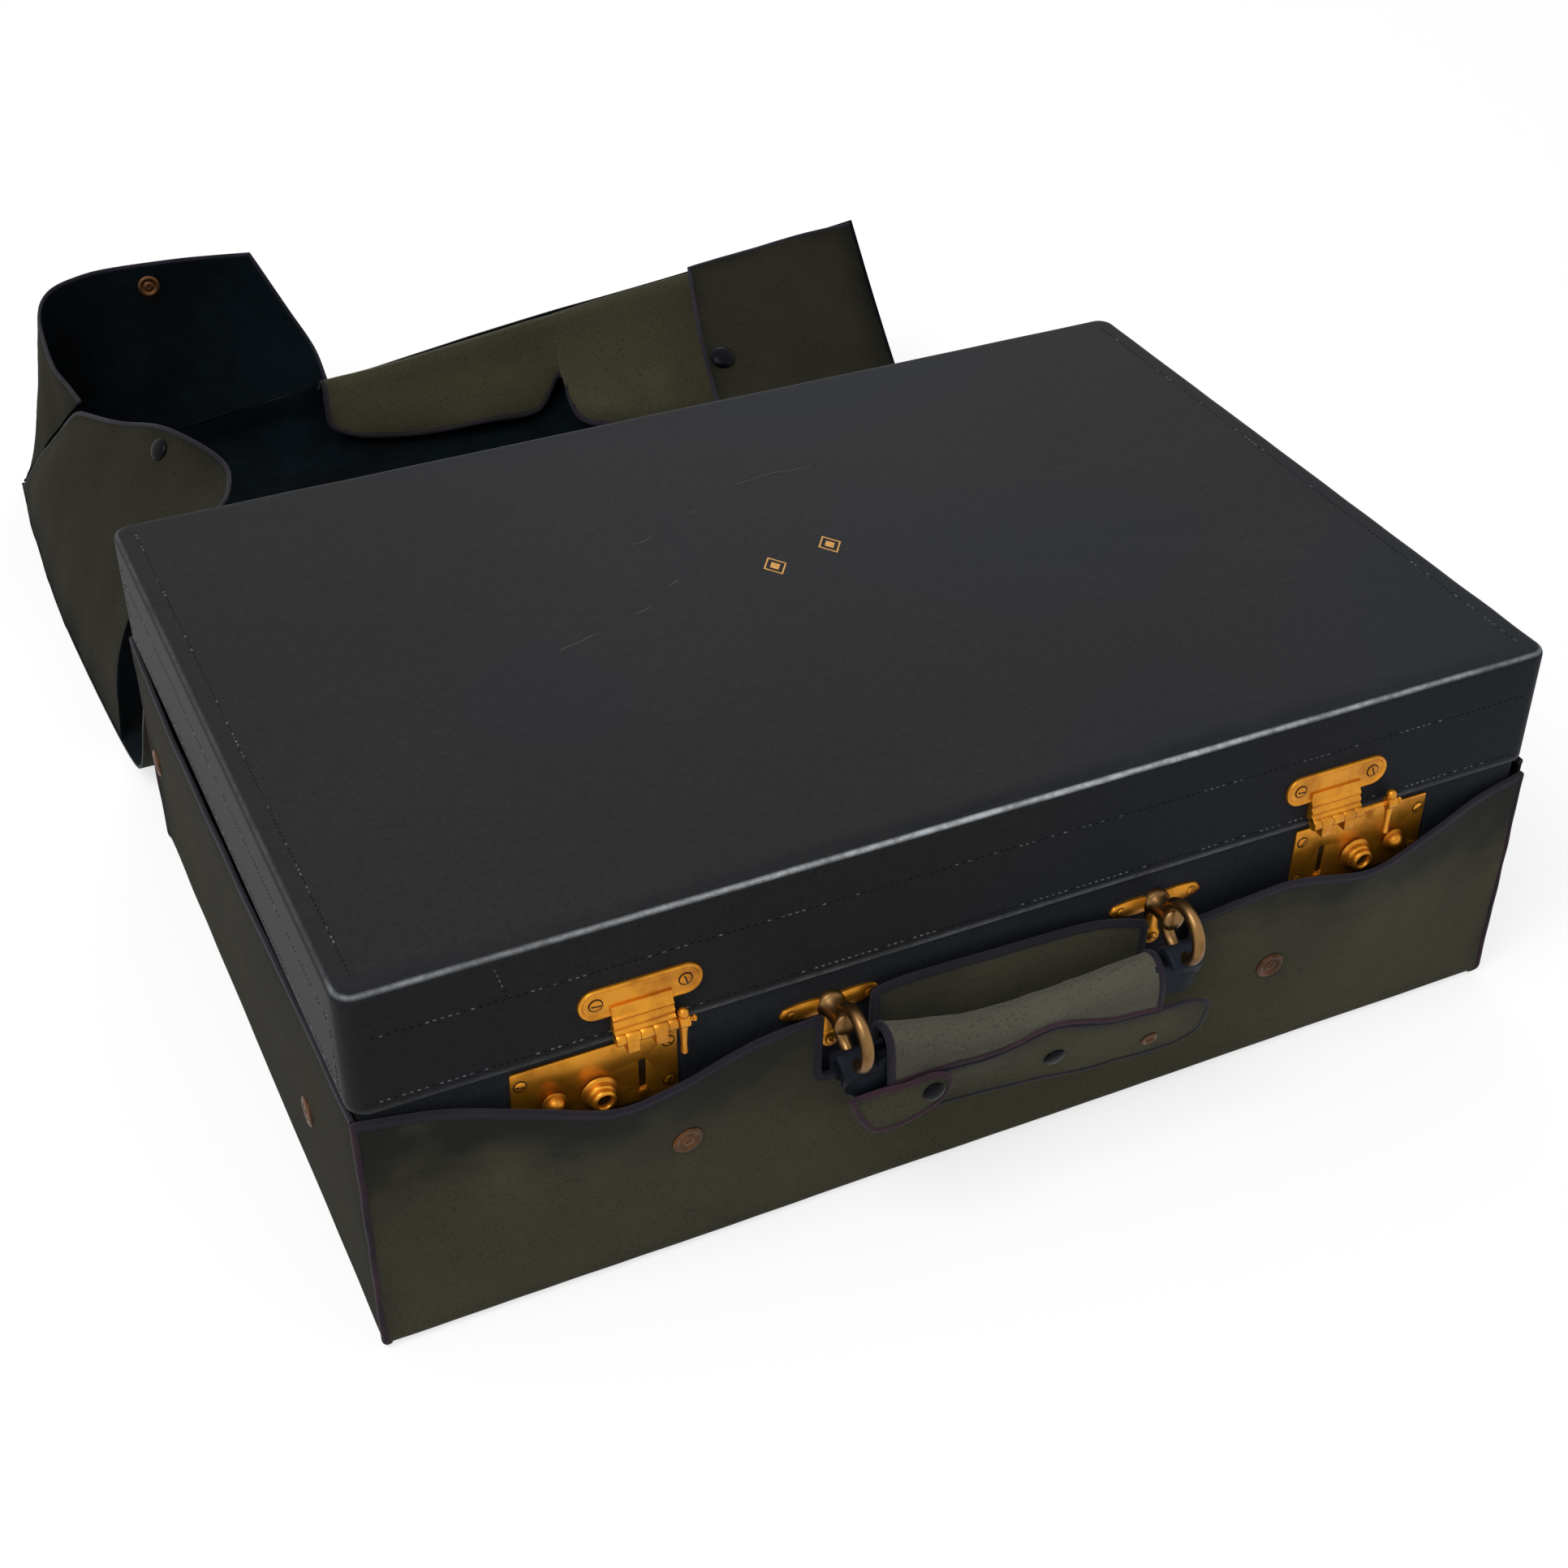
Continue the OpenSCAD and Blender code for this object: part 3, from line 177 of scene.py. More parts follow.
def rounded(w, d, r, corner=6, side_w=1, side_d=1):
    """Outline of a rounded rectangle round the origin, with as many points for any size."""
    out = []
    hw, hd = w / 2 - r, d / 2 - r
    middles = [(hw, hd), (-hw, hd), (-hw, -hd), (hw, -hd)]
    for k, run in enumerate([side_w, side_d, side_w, side_d]):
        angles = (k + np.arange(corner + 1) / corner) * TAU / 4
        arc = np.array(middles[k]) + r * np.column_stack([np.cos(angles), np.sin(angles)])
        end = np.array(middles[(k + 1) % 4]) + r * np.array([np.cos(angles[-1]), np.sin(angles[-1])])
        out += list(arc) + [arc[-1] + (end - arc[-1]) * t / run for t in range(1, run)]
    return np.array(out)


# Shapes: vertices and faces under construction

# Sections of a bar's round end and of a stitch: steps along it, and shares of its full size
ROUND_END = [(1, 0.15), (0.7, 0.7), (0.3, 0.95)]
STITCH = [(-0.5, 0.25), (-0.3, 0.8), (0, 1), (0.3, 0.8), (0.5, 0.25)]
STITCH_LENGTH = 1.5
STITCH_HALF = 0.36


def linked(name, data):
    """A new object in the scene."""
    obj = bpy.data.objects.new(name, data)
    bpy.context.scene.collection.objects.link(obj)
    return obj


def frame_of(axis):
    """Two directions square to an axis and to each other."""
    axis = unit(axis)
    side = unit(np.cross(axis, Z if abs(axis[2]) < 0.9 else X))
    return side, np.cross(axis, side)


def spokes(count, a, b):
    """Directions round a circle, from a towards b."""
    angles = np.arange(count) * TAU / count
    return np.cos(angles)[:, None] * a + np.sin(angles)[:, None] * b


class Shape:
    """Vertices in millimetres, each with its wear, dirt and painted light, and faces, each with the number of
    its paint.
    """

    def __init__(self):
        self.verts = []
        self.faces = []
        self.paints = []
        self.wear = []

    def add(self, verts, faces, paint=0, wear=None):
        start = len(self.verts)
        self.verts += np.asarray(verts, float).reshape(-1, 3).tolist()
        self.wear += [0] * (len(self.verts) - start) if wear is None else np.ravel(wear).tolist()
        self.faces += [[int(i) + start for i in f] for f in faces]
        self.paints += [paint] * len(faces)

    def loft(self, rings, paint=0, caps=True, loop=False):
        """Skin through closed rings of as many points each."""
        rings = np.asarray(rings, float)
        k, m = rings.shape[:2]
        faces = []
        for i in range(k if loop else k - 1):
            a, b = i * m, (i + 1) % k * m
            faces += [[a + j, a + (j + 1) % m, b + (j + 1) % m, b + j] for j in range(m)]
        if caps and not loop:
            faces += [list(range(m))[::-1], [(k - 1) * m + j for j in range(m)]]
        self.add(rings.reshape(-1, 3), faces, paint)

    def lathe(self, at, axis, profile, paint=0, sides=32):
        """Round body: profile holds pairs of height along the axis and radius."""
        axis = unit(axis)
        round_it = spokes(sides, *frame_of(axis))
        self.loft([np.asarray(at, float) + axis * h + round_it * max(r, 0.01) for h, r in profile], paint)

    def tube(self, points, radius, paint=0, sides=12, loop=False):
        """Round bar along points, with round ends. The radius is a number or one for each point."""
        p = np.asarray(points, float)
        r = np.broadcast_to(np.asarray(radius, float), (len(p),))
        tangent = unit(np.roll(p, -1, 0) - np.roll(p, 1, 0)) if loop else unit(np.gradient(p, axis=0))
        if not loop:
            head = [(p[0] - tangent[0] * r[0] * a, r[0] * b, tangent[0]) for a, b in ROUND_END]
            tail = [(p[-1] + tangent[-1] * r[-1] * a, r[-1] * b, tangent[-1]) for a, b in ROUND_END[::-1]]
            parts = zip(zip(*head), (p, r, tangent), zip(*tail))
            p, r, tangent = (np.array([*start, *middle, *end]) for start, middle, end in parts)
        side = frame_of(tangent[0])[0]
        rings = []
        for q, t, radius_here in zip(p, tangent, r):
            side = unit(side - t * np.dot(side, t))
            rings.append(q + spokes(sides, side, np.cross(t, side)) * radius_here)
        self.loft(rings, paint, loop=loop)

    def block(self, low, high, bevel=0.3, paint=0):
        """Box with rounded edges."""
        low, high = np.asarray(low, float), np.asarray(high, float)
        mid, size = (low + high) / 2, high - low
        rows = []
        for turn in np.radians([90, 60, 30, 0]):
            rows.append((bevel * (1 - math.cos(turn)), size[1] / 2 - bevel + bevel * math.sin(turn)))
        rows += [(inset, -h) for inset, h in rows[::-1]]
        rings = []
        for inset, h in rows:
            o = rounded(size[0] - 2 * inset, size[2] - 2 * inset, max(bevel - inset, 0.02), 3)
            rings.append(np.insert(o + mid[[0, 2]], 1, mid[1] + h, axis=1))
        self.loft(rings, paint)

    def stitches(self, points, normal, pitch=3, pale=0.35):
        """Row of stitches along a line, half sunk. Paint 0 is pale, for that share of them, and 1 dark."""
        p = resample(points, pitch)
        normal = np.broadcast_to(np.asarray(normal, float), p.shape)
        angles = np.arange(6) * TAU / 6
        runs = 0.5 + 0.5 * ripple(p, 15, 55) + 0.6 * ripple(p, 16, 6)
        for a, b, n, run in zip(p, p[1:], normal, runs):
            t = unit(b - a)
            side = unit(np.cross(t, n))
            flat = np.cos(angles)[:, None] * side + np.sin(angles)[:, None] * n * 0.7
            shown = run > 1 - pale
            size = STITCH_HALF * (1 if shown else 0.75)
            rings = [(a + b) / 2 + t * s * STITCH_LENGTH + flat * size * w for s, w in STITCH]
            self.loft(rings, 0 if shown else 1)

    def build(self, name, body, paints_used, slot, replaces=(), sharp=38):
        """The finished piece, riding on its body."""
        mesh = bpy.data.meshes.new(name)
        mesh.from_pydata([[c * MM for c in v] for v in self.verts], [], self.faces)
        for paint in [paints_used] if isinstance(paints_used, str) else paints_used:
            mesh.materials.append(paints[paint])
        mesh.polygons.foreach_set("material_index", self.paints)
        work = bmesh.new()
        work.from_mesh(mesh)
        bmesh.ops.recalc_face_normals(work, faces=work.faces)
        work.to_mesh(mesh)
        work.free()
        mesh.shade_smooth()
        mesh.set_sharp_from_angle(angle=math.radians(sharp))
        if any(self.wear):
            mesh.attributes.new("wear", "FLOAT", "POINT").data.foreach_set("value", self.wear)
        obj = linked(name, mesh)
        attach(obj, body)
        if replaces:
            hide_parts(*replaces)
        return obj


def cut_plate(outlines, thick, bevel):
    """Vertices and faces of a flat plate with holes and round edges, its back at height 0."""
    data = bpy.data.curves.new("cut", "CURVE")
    data.dimensions = "2D"
    data.fill_mode = "BOTH"
    data.extrude = thick / 2 - bevel
    data.bevel_depth = bevel
    data.bevel_resolution = 1
    data.offset = -bevel
    for outline in outlines:
        spline = data.splines.new("POLY")
        spline.points.add(len(outline) - 1)
        spline.points.foreach_set("co", [c for x, y in outline for c in (x, y, 0, 1)])
        spline.use_cyclic_u = True
    holder = linked("cut", data)
    bpy.context.view_layer.update()
    mesh = bpy.data.meshes.new_from_object(holder.evaluated_get(bpy.context.evaluated_depsgraph_get()))
    work = bmesh.new()
    work.from_mesh(mesh)
    bmesh.ops.remove_doubles(work, verts=work.verts, dist=0.002)
    work.verts.index_update()
    verts = np.array([v.co for v in work.verts])
    faces = [[v.index for v in f.verts] for f in work.faces]
    work.free()
    bpy.data.objects.remove(holder)
    bpy.data.curves.remove(data)
    bpy.data.meshes.remove(mesh)
    verts[:, 2] += thick / 2
    return verts, faces


# Materials


class Paint:
    """A node material under construction, around one Principled shader."""

    def __init__(self, name):
        self.mat = bpy.data.materials.new(name)
        self.mat.use_nodes = True
        self.tree = self.mat.node_tree
        self.shader = self.tree.nodes["Principled BSDF"]
        coord = self.tree.nodes.new("ShaderNodeTexCoord")
        self.place = coord.outputs["Object"]

    def add(self, kind, inputs=None, **settings):
        node = self.tree.nodes.new(kind)
        for key, value in settings.items():
            setattr(node, key, value)
        for key, value in (inputs or {}).items():
            self.put(node.inputs[key], value)
        return node

    def put(self, socket, value):
        if isinstance(value, bpy.types.NodeSocket):
            self.tree.links.new(value, socket)
        else:
            socket.default_value = value

    def set(self, **values):
        for key, value in values.items():
            self.put(self.shader.inputs[key.replace("_", " ")], value)

    def stretch(self, scale):
        return self.add("ShaderNodeMapping", {"Vector": self.place, "Scale": scale}).outputs["Vector"]

    def noise(self, scale, detail=3, rough=0.55, place=None):
        inputs = {"Vector": place or self.place, "Scale": scale, "Detail": detail, "Roughness": rough}
        return self.add("ShaderNodeTexNoise", inputs).outputs["Fac"]

    def ramp(self, fac, *stops):
        node = self.add("ShaderNodeValToRGB", {"Fac": fac})
        ramp = node.color_ramp
        while len(ramp.elements) < len(stops):
            ramp.elements.new(0.5)
        for element, (at, grey) in zip(ramp.elements, stops):
            element.position = at
            element.color = (grey, grey, grey, 1)
        return node.outputs["Color"]

    def blots(self, scale, detail, rough, start, end, most=1.0):
        """Patches of noise: 0 where it is below start, most where it is above end."""
        return self.ramp(self.noise(scale, detail, rough), (start, 0.0), (end, most))

    def mix(self, fac, a, b, blend="MIX"):
        node = self.add("ShaderNodeMix", data_type="RGBA", blend_type=blend)
        for socket, value in zip([node.inputs[0], node.inputs[6], node.inputs[7]], [fac, a, b]):
            self.put(socket, (*value, 1) if isinstance(value, tuple) else value)
        return node.outputs[2]

    def maths(self, how, a, b):
        node = self.add("ShaderNodeMath", operation=how)
        self.put(node.inputs[0], a)
        self.put(node.inputs[1], b)
        return node.outputs[0]

    def attribute(self, name):
        return self.add("ShaderNodeAttribute", attribute_name=name).outputs["Fac"]

    def bump(self, *layers):
        """Layers are (height, strength, distance in metres)."""
        normal = None
        for height, strength, distance in layers:
            inputs = {"Height": height, "Strength": strength, "Distance": distance}
            if normal is not None:
                inputs["Normal"] = normal
            normal = self.add("ShaderNodeBump", inputs).outputs["Normal"]
        self.put(self.shader.inputs["Normal"], normal)


def srgb(code):
    """Linear colour of a hex code."""
    parts = [int(code[i : i + 2], 16) / 255 for i in (1, 3, 5)]
    return tuple(c / 12.92 if c <= 0.04045 else ((c + 0.055) / 1.055) ** 2.4 for c in parts)


def shade(colour, share):
    return tuple(c * share for c in colour)


# Blue cast and painted shade line beside the edge of the leather, dirt and painted shade on the canvas, and
# how fine its threads are each way
LEATHER_TINT = srgb("#1e232c")
EDGE_SHADE_LINE = srgb("#0c1018")
DIRT_AND_SHADE_COLOUR = srgb("#0e0f11")
THREAD_ACROSS = 2400
THREAD_ALONG = 520


def leather(name, deep, pale, worn_and_highlight, grain=900, rough=0.5):
    """Grained leather: pebbles and pores, faded patches, and worn edges where the mesh says so, with a
    painted highlight on the worn edge and a painted shade line beside it.
    """
    p = Paint(name)
    deep, pale, worn_and_highlight = srgb(deep), srgb(pale), srgb(worn_and_highlight)
    cells = p.add("ShaderNodeTexVoronoi", {"Vector": p.place, "Scale": grain}, feature="SMOOTH_F1")
    pebbles = cells.outputs["Distance"]
    colour = p.mix(p.blots(4, 3, 0.5, 0.4, 0.65), deep, pale)
    colour = p.mix(p.ramp(pebbles, (0.25, 0.0), (0.75, 0.45)), colour, shade(deep, 0.5))
    colour = p.mix(p.blots(330, 3, 0.7, 0.38, 0.62, 0.5), colour, shade(deep, 0.6))
    colour = p.mix(p.blots(3.2, 2, 0.5, 0.44, 0.62, 0.55), colour, LEATHER_TINT)
    # Wear above 0 is rubbed and shiny, its pale colour partly a painted highlight; wear below 0 is a painted
    # shade line beside the edge
    wear = p.attribute("wear")
    rubbed_and_highlight = p.maths("MAXIMUM", wear, 0.0)
    scuffs = p.maths("MULTIPLY", p.blots(230, 4, 0.7, 0.38, 0.6), 0.45)
    share = p.maths("MULTIPLY", rubbed_and_highlight, p.maths("ADD", scuffs, 0.55))
    colour = p.mix(p.maths("MAXIMUM", p.maths("MULTIPLY", wear, -1.0), 0.0), colour, EDGE_SHADE_LINE)
    p.set(Base_Color=p.mix(share, colour, worn_and_highlight), Roughness=p.ramp(rubbed_and_highlight, (0.0, rough + 0.08), (0.8, 0.3)),
          Specular_IOR_Level=p.maths("ADD", p.maths("MULTIPLY", rubbed_and_highlight, 0.4), 0.07))
    p.bump((pebbles, 0.4, 0.0001), (p.noise(grain * 2.2, 2), 0.2, 0.00004), (p.noise(45, 4), 0.08, 0.0003))
    return p.mat


def canvas(name, dark, mid, light, specular=0.15, sheen=0.12):
    """Faded canvas: threads that cross, stains in two sizes, and dirt with painted shade where the mesh says
    so.
    """
    p = Paint(name)
    dark, mid, light = srgb(dark), srgb(mid), srgb(light)
    threads = []
    for axis in ((1, 0, 0), (0, 1, 0), (0, 0, 1)):
        scale = tuple(THREAD_ACROSS * a + THREAD_ALONG * (1 - a) for a in axis)
        threads.append(p.noise(1, 1, 0.5, p.stretch(scale)))
    cloth = p.maths("ADD", p.maths("MAXIMUM", threads[0], threads[1]), threads[2])
    stains = p.noise(26, 4, 0.65)
    colour = p.mix(p.blots(6, 4, 0.6, 0.36, 0.66), dark, mid)
    colour = p.mix(p.ramp(stains, (0.5, 0.0), (0.78, 0.8)), colour, light)
    colour = p.mix(p.ramp(cloth, (0.75, 0.0), (1.0, 0.5)), colour, shade(light, 1.7))
    p.set(Base_Color=p.mix(p.attribute("wear"), colour, DIRT_AND_SHADE_COLOUR), Roughness=0.92, Specular_IOR_Level=specular,
          Sheen_Weight=sheen, Sheen_Roughness=0.5)
    p.bump((cloth, 0.4, 0.00016), (stains, 0.2, 0.0006))
    return p.mat


def felt(name, dark, light):
    p = Paint(name)
    colour = p.mix(p.blots(14, 5, 0.7, 0.4, 0.75), srgb(dark), srgb(light))
    p.set(Base_Color=colour, Roughness=0.97, Specular_IOR_Level=0.08)
    p.bump((p.noise(1400, 3, 0.7), 0.5, 0.0002))
    return p.mat


def tape(name, dark, light):
    """Bound edges and piping: fine ribs, faded patches."""
    p = Paint(name)
    colour = p.mix(p.blots(22, 3, 0.6, 0.4, 0.66), srgb(dark), srgb(light))
    p.set(Base_Color=colour, Roughness=0.8, Specular_IOR_Level=0.2, Sheen_Weight=0.1)
    p.bump((p.noise(1500, 2), 0.5, 0.0001), (p.noise(160, 2), 0.2, 0.0003))
    return p.mat


def metal(name, base, deep, rough, scratches=0.2, metallic=1.0):
    """Plated metal: tarnish in patches, fine scratches."""
    p = Paint(name)
    colour = p.mix(p.blots(60, 5, 0.65, 0.42, 0.72), srgb(base), srgb(deep))
    uneven = p.ramp(p.noise(120, 4, 0.6), (0.35, rough - 0.06), (0.7, rough + 0.12))
    p.set(Base_Color=colour, Metallic=metallic, Roughness=uneven)
    lines = p.noise(1, 2, 0.6, p.stretch((2500, 2500, 160)))
    p.bump((lines, scratches, 0.00002), (p.noise(220, 3), 0.12, 0.0001))
    return p.mat


def plain(name, low, high, scale, rough, metallic=0.0, specular=0.4):
    """Two close tones in patches with a fine grain."""
    p = Paint(name)
    colour = p.mix(p.blots(scale, 4, 0.55, 0.4, 0.65), srgb(low), srgb(high))
    p.set(Base_Color=colour, Roughness=rough, Metallic=metallic, Specular_IOR_Level=specular)
    p.bump((p.noise(scale * 12, 3), 0.2, 0.00012))
    return p.mat


paints = {
    # The last colour of each leather is its worn edges; the case's is pale enough to be a painted highlight
    # as well
    "leather": leather("leather_case", "#282829", "#2f2e2e", "#c9cfd4"),
    # Leathers for the lid's wrinkles: a pale one as painted highlight on the ridges and a dark one as painted
    # shade in the folds
    "crease_painted_highlight": leather("leather_crease_painted_highlight", "#4a4a4a", "#6a6a6a", "#8e959c", 900, 0.42),
    "crease_painted_shade": leather("leather_crease_painted_shade", "#141415", "#1c1c1d", "#8e959c"),
    # The base's leather is a lighter copy of the case's: painted light where the base lies in shade between
    # the lid and the cover
    "base_leather": leather("leather_base_painted_light", "#303236", "#383a3e", "#8e959c"),
    "grip_leather": leather("leather_grip", "#1a1e25", "#343a44", "#5b6470", 700, 0.42),
    "board": plain("board", "#6d5636", "#8a7049", 40, 0.85),
    "case_lining": felt("lining_case", "#11141c", "#1d2230"),
    "canvas": canvas("canvas", "#26261f", "#3a382c", "#4a4733"),
    # A darker copy of the canvas, painted shade for walls that sit darker for how the light falls
    "canvas_painted_shade": canvas("canvas_painted_shade", "#171712", "#24231b", "#2f2d24", 0.05, 0.02),
    "canvas_pale": canvas("canvas_pale", "#3a3a32", "#4a4940", "#57554a"),
    "cover_lining": felt("lining_cover", "#05080b", "#0e1b22"),
    "piping": tape("piping", "#17161f", "#26212d"),
    "corner_piping": tape("piping_corner", "#1b1520", "#3a2430"),
    "red_piping": tape("piping_red", "#2b1d26", "#472a36"),
    "gilt_brass": metal("gilt_brass", "#dc9328", "#a8681a", 0.36, 0.05, 0.8),
    "dull_brass": metal("dull_brass", "#8b6a42", "#4e3822", 0.36),
    # Dark brass for recesses: painted shade in the screw slots and countersinks, behind the keyhole and in
    # the knob's hollow
    "brass_painted_shade": plain("brass_painted_shade", "#1e1408", "#342410", 90, 0.6, 0.6),
    "steel": metal("steel", "#8f9296", "#5b5d60", 0.35),
    "snap_caps": plain("snap_cap", "#04050a", "#080a14", 60, 0.3, 0.0, 0.08),
    "copper_snaps": metal("copper", "#5f3d22", "#24170c", 0.44, 0.2, 0.75),
    "thread": plain("thread", "#4a4f53", "#7c8185", 260, 0.8),
    "dark_thread": plain("thread_dark", "#050506", "#0d0e10", 260, 0.9, 0.0, 0.1),
    "gilt": plain("gilt_stamp", "#b98436", "#dba24c", 500, 0.5, 0.4),
}
for row in frame["record"]["subparts"]:
    name, slot = row["node"], row["material_slot"]
    used = nodes[name].data.materials
    used.clear()
    # The base's own node takes the lighter copy of the leather, which is painted light
    used.append(paints[name if name == "base_leather" else slot])


# Lid leather: turned over the edges and worn along them, as far in as the reaches say, with a painted
# highlight along the worn front edge and a painted shade line beside it

EDGE_WEAR_AND_HIGHLIGHT = {"front": 1.35, "left": 0.3, "right": 0.5, "back": 0.3, "corner": 0.8}
EDGE_REACH = 12
CORNER_REACH = 14
FLESH = 1.4
# Inset, height over the lid's lower edge and wear, from that edge up. Then inset and wear over the top, where
# wear below 0 is the painted shade line beside the edge.
LID_FOOT = [(FLESH, 0.3, 0), (1.0, 0, 0.1), (0.3, 0.1, 0.35), (0, 0.9, 0.2), (0, 3, 0), (0, 20, 0),
            (0, 40, 0)]
LID_RIM = [(EDGE_R + 1.2, -0.55), (7.5, -0.6), (11, -0.25), (16, 0), (30, 0), (60, 0), (100, 0), (160, 0)]


def lid_ring(inset, z):
    o = rounded(case_l - 2 * inset, case_d - 2 * inset, max(CORNER_R - inset, 0.6), 8, 70, 46)
    return np.insert(o, 2, z, axis=1)


def lid_skin():
    shape = Shape()
    rows = [(inset, lid_z + rise, share) for inset, rise, share in LID_FOOT] + [(0, case_h - EDGE_R - 1, 0)]
    # The worn share peaks round 52 degrees on the rounded edge, where it is also a painted highlight
    for a in range(0, 91, 13):
        turn = math.radians(a)
        share = max(1 - abs(a - 52) / 26, 0)
        rows.append((EDGE_R * (1 - math.cos(turn)), case_h - EDGE_R * (1 - math.sin(turn)), share))
    rows += [(inset, case_h, share) for inset, share in LID_RIM]
    rings, wear = [], []
    for inset, z, share in rows:
        ring = lid_ring(inset, z)
        x, y = ring[:, 0], ring[:, 1]
        edge = np.full(len(ring), EDGE_WEAR_AND_HIGHLIGHT["back"])
        edge[x < EDGE_REACH - case_l / 2] = EDGE_WEAR_AND_HIGHLIGHT["left"]
        edge[x > case_l / 2 - EDGE_REACH] = EDGE_WEAR_AND_HIGHLIGHT["right"]
        edge[y < EDGE_REACH - case_d / 2] = EDGE_WEAR_AND_HIGHLIGHT["front"]
        corner = (abs(x) > case_l / 2 - CORNER_REACH) & (abs(y) > case_d / 2 - CORNER_REACH)
        edge[corner] = np.maximum(edge[corner], EDGE_WEAR_AND_HIGHLIGHT["corner"])
        # Brightest near the middle and fading to the ends, as the painted highlight on the front edge does
        fade = np.clip(1.15 - abs(x - 20) / 330, 0.3, 1) * (0.85 + 0.25 * ripple(ring, 5, 30))
        wear += list(np.clip(share * edge * fade, -1, 1))
        rings.append(ring)
    rings = np.array(rings)
    rings[..., 2] += 0.12 * ripple(rings, 3, 38) * (rings[..., 2] > case_h - 6)
    shape.loft(rings, caps=False)
    # The flesh side closes the shell
    under = [(FLESH, case_h - FLESH - EDGE_R), (FLESH + 0.4, case_h - 2.4), (EDGE_R + FLESH, case_h - FLESH)]
    shape.loft([rings[0]] + [lid_ring(inset, z) for inset, z in under], caps=False)
    m = rings.shape[1]
    for last, tip in ((len(rings) - 1) * m, case_h), (len(shape.verts) - m, case_h - FLESH):
        start = len(shape.verts)
        shape.verts.append([0, 0, tip])
        shape.faces += [[last + j, last + (j + 1) % m, start] for j in range(m)]
        shape.paints += [0] * m
    shape.wear = wear + [0] * (len(shape.verts) - len(wear))
    shape.build("lid_skin", "lid", "leather", "leather", ["lid_leather"], sharp=60)


# How far a stitch row lies below the case's top and above the lid's lower edge, and in from its ends
STITCH_DROP = 21.5
STITCH_RISE = 5
STITCH_ENDS = CORNER_R + 2


def case_stitching():
    """Stitch rows on the lid: two on each side, at the upright corners and along the ends of the top."""
    shape = Shape()
    half_l, half_d = case_l / 2, case_d / 2
    y, end_x, end_y = lid_face_y - 0.05, half_l - STITCH_ENDS, half_d - STITCH_ENDS
    for z, pale in ((case_h - STITCH_DROP, 0.3), (lid_z + STITCH_RISE, 0.5)):
        shape.stitches([(-end_x, y, z), (end_x, y, z)], FRONT, pale=pale)
        shape.stitches([(end_x, -y, z), (-end_x, -y, z)], Y, pale=pale)
    shape.stitches([(-219, y, case_h - 5), (-214.5, y, case_h - STITCH_DROP)], FRONT, pale=0.6)
    for side in (-1, 1):
        x = side * (half_l + 0.05)
        for z in (case_h - STITCH_DROP, lid_z + STITCH_RISE):
            shape.stitches([(x, -end_y, z), (x, end_y, z)], X * side)
        for y_at in (-half_d + 14, half_d - 14):
            shape.stitches([(x, y_at, lid_z + 7), (x, y_at, case_h - 13)], X * side, pitch=2.6)
        x_in, top = side * (half_l - 10), case_h + 0.04
        shape.stitches([(x_in, -half_d + 12, top), (x_in, half_d - 12, top)], Z, pale=0.1)
    shape.build("lid_stitching", "lid", ["thread", "dark_thread"], "thread")


# Wrinkles in the lid's top: half the width, and the line
SCRATCHES = [
    (0.62, [(-2, 103), (11, 102), (21, 102.5), (34, 104), (43, 102), (54, 103), (65, 106)]),
    (0.58, [(-59, 69), (-52, 69), (-43, 72.5)]),
    (0.45, [(-31, 81), (-21, 84), (-8, 89.5)]),
    (0.6, [(-126.5, -6), (-118.5, -2.5), (-108.5, 0.5), (-95.5, 4.5)]),
    (0.48, [(-83, 9.5), (-75, 12), (-66.5, 16)]),
    (0.52, [(-60, 24), (-48, 31.5)]),
]
CREASE_APART = 0.75
LOZENGES = [(-4, 22), (28, 29)]
LOZENGE = np.array([(6, 0), (0, 8.5), (-6, 0), (0, -8.5)])


def creases():
    """Low wrinkles in the lid's top: a ridge painted pale, a painted highlight, and beside it a fold painted
    dark, a painted shade.
    """
    shape = Shape()
    s = np.linspace(0, 1, 24)
    for width, line in SCRATCHES:
        points = np.insert(curve(line, s), 2, case_h - 0.35, axis=1)
        points[:, :2] += 0.7 * np.column_stack([ripple(points, 8, 14), ripple(points, 9, 11)])
        size = width * np.sin(np.pi * np.clip(s, 0.03, 0.97)) ** 0.6
        # The ridge takes the painted highlight, and the tube set behind it the painted shade
        shape.tube(points, size, 0, sides=8)
        shape.tube(points + (0, CREASE_APART, -0.05), size * 0.85, 1, sides=8)
    shape.build("lid_creases", "lid", ["crease_painted_highlight", "crease_painted_shade"], "leather")


def gilt_marks():
    """Two plain lozenges in gilt on the lid's top."""
    shape = Shape()
    for x, y in LOZENGES:
        for outer, inner in ((1, 0.84), (0.45, 0.02)):
            rows = [(outer, -0.1), (outer, 0.06), (inner, 0.06), (inner, -0.1)]
            rings = [[(x + a * size, y + b * size, case_h + z) for a, b in LOZENGE] for size, z in rows]
            shape.loft(rings, loop=True)
    shape.build("gilt_lozenges", "lid", "gilt", "gilt_brass")


lid_skin()
case_stitching()
creases()
gilt_marks()


# Cover: sheets of lined canvas, with bound edges


def tucked(points):
    """Draws the lowest edge of the tray in, round under the case."""
    p = np.array(points, float)
    low = np.clip(TUCK_R - p[..., 2], 0, TUCK_R)
    inset = TUCK_R - np.sqrt(TUCK_R**2 - low**2)
    for k, size in ((0, tray_l), (1, tray_d)):
        reach = np.clip((abs(p[..., k]) - (size / 2 - 3 * TUCK_R)) / (3 * TUCK_R), 0, 1)
        p[..., k] -= np.sign(p[..., k]) * inset * reach
    return p


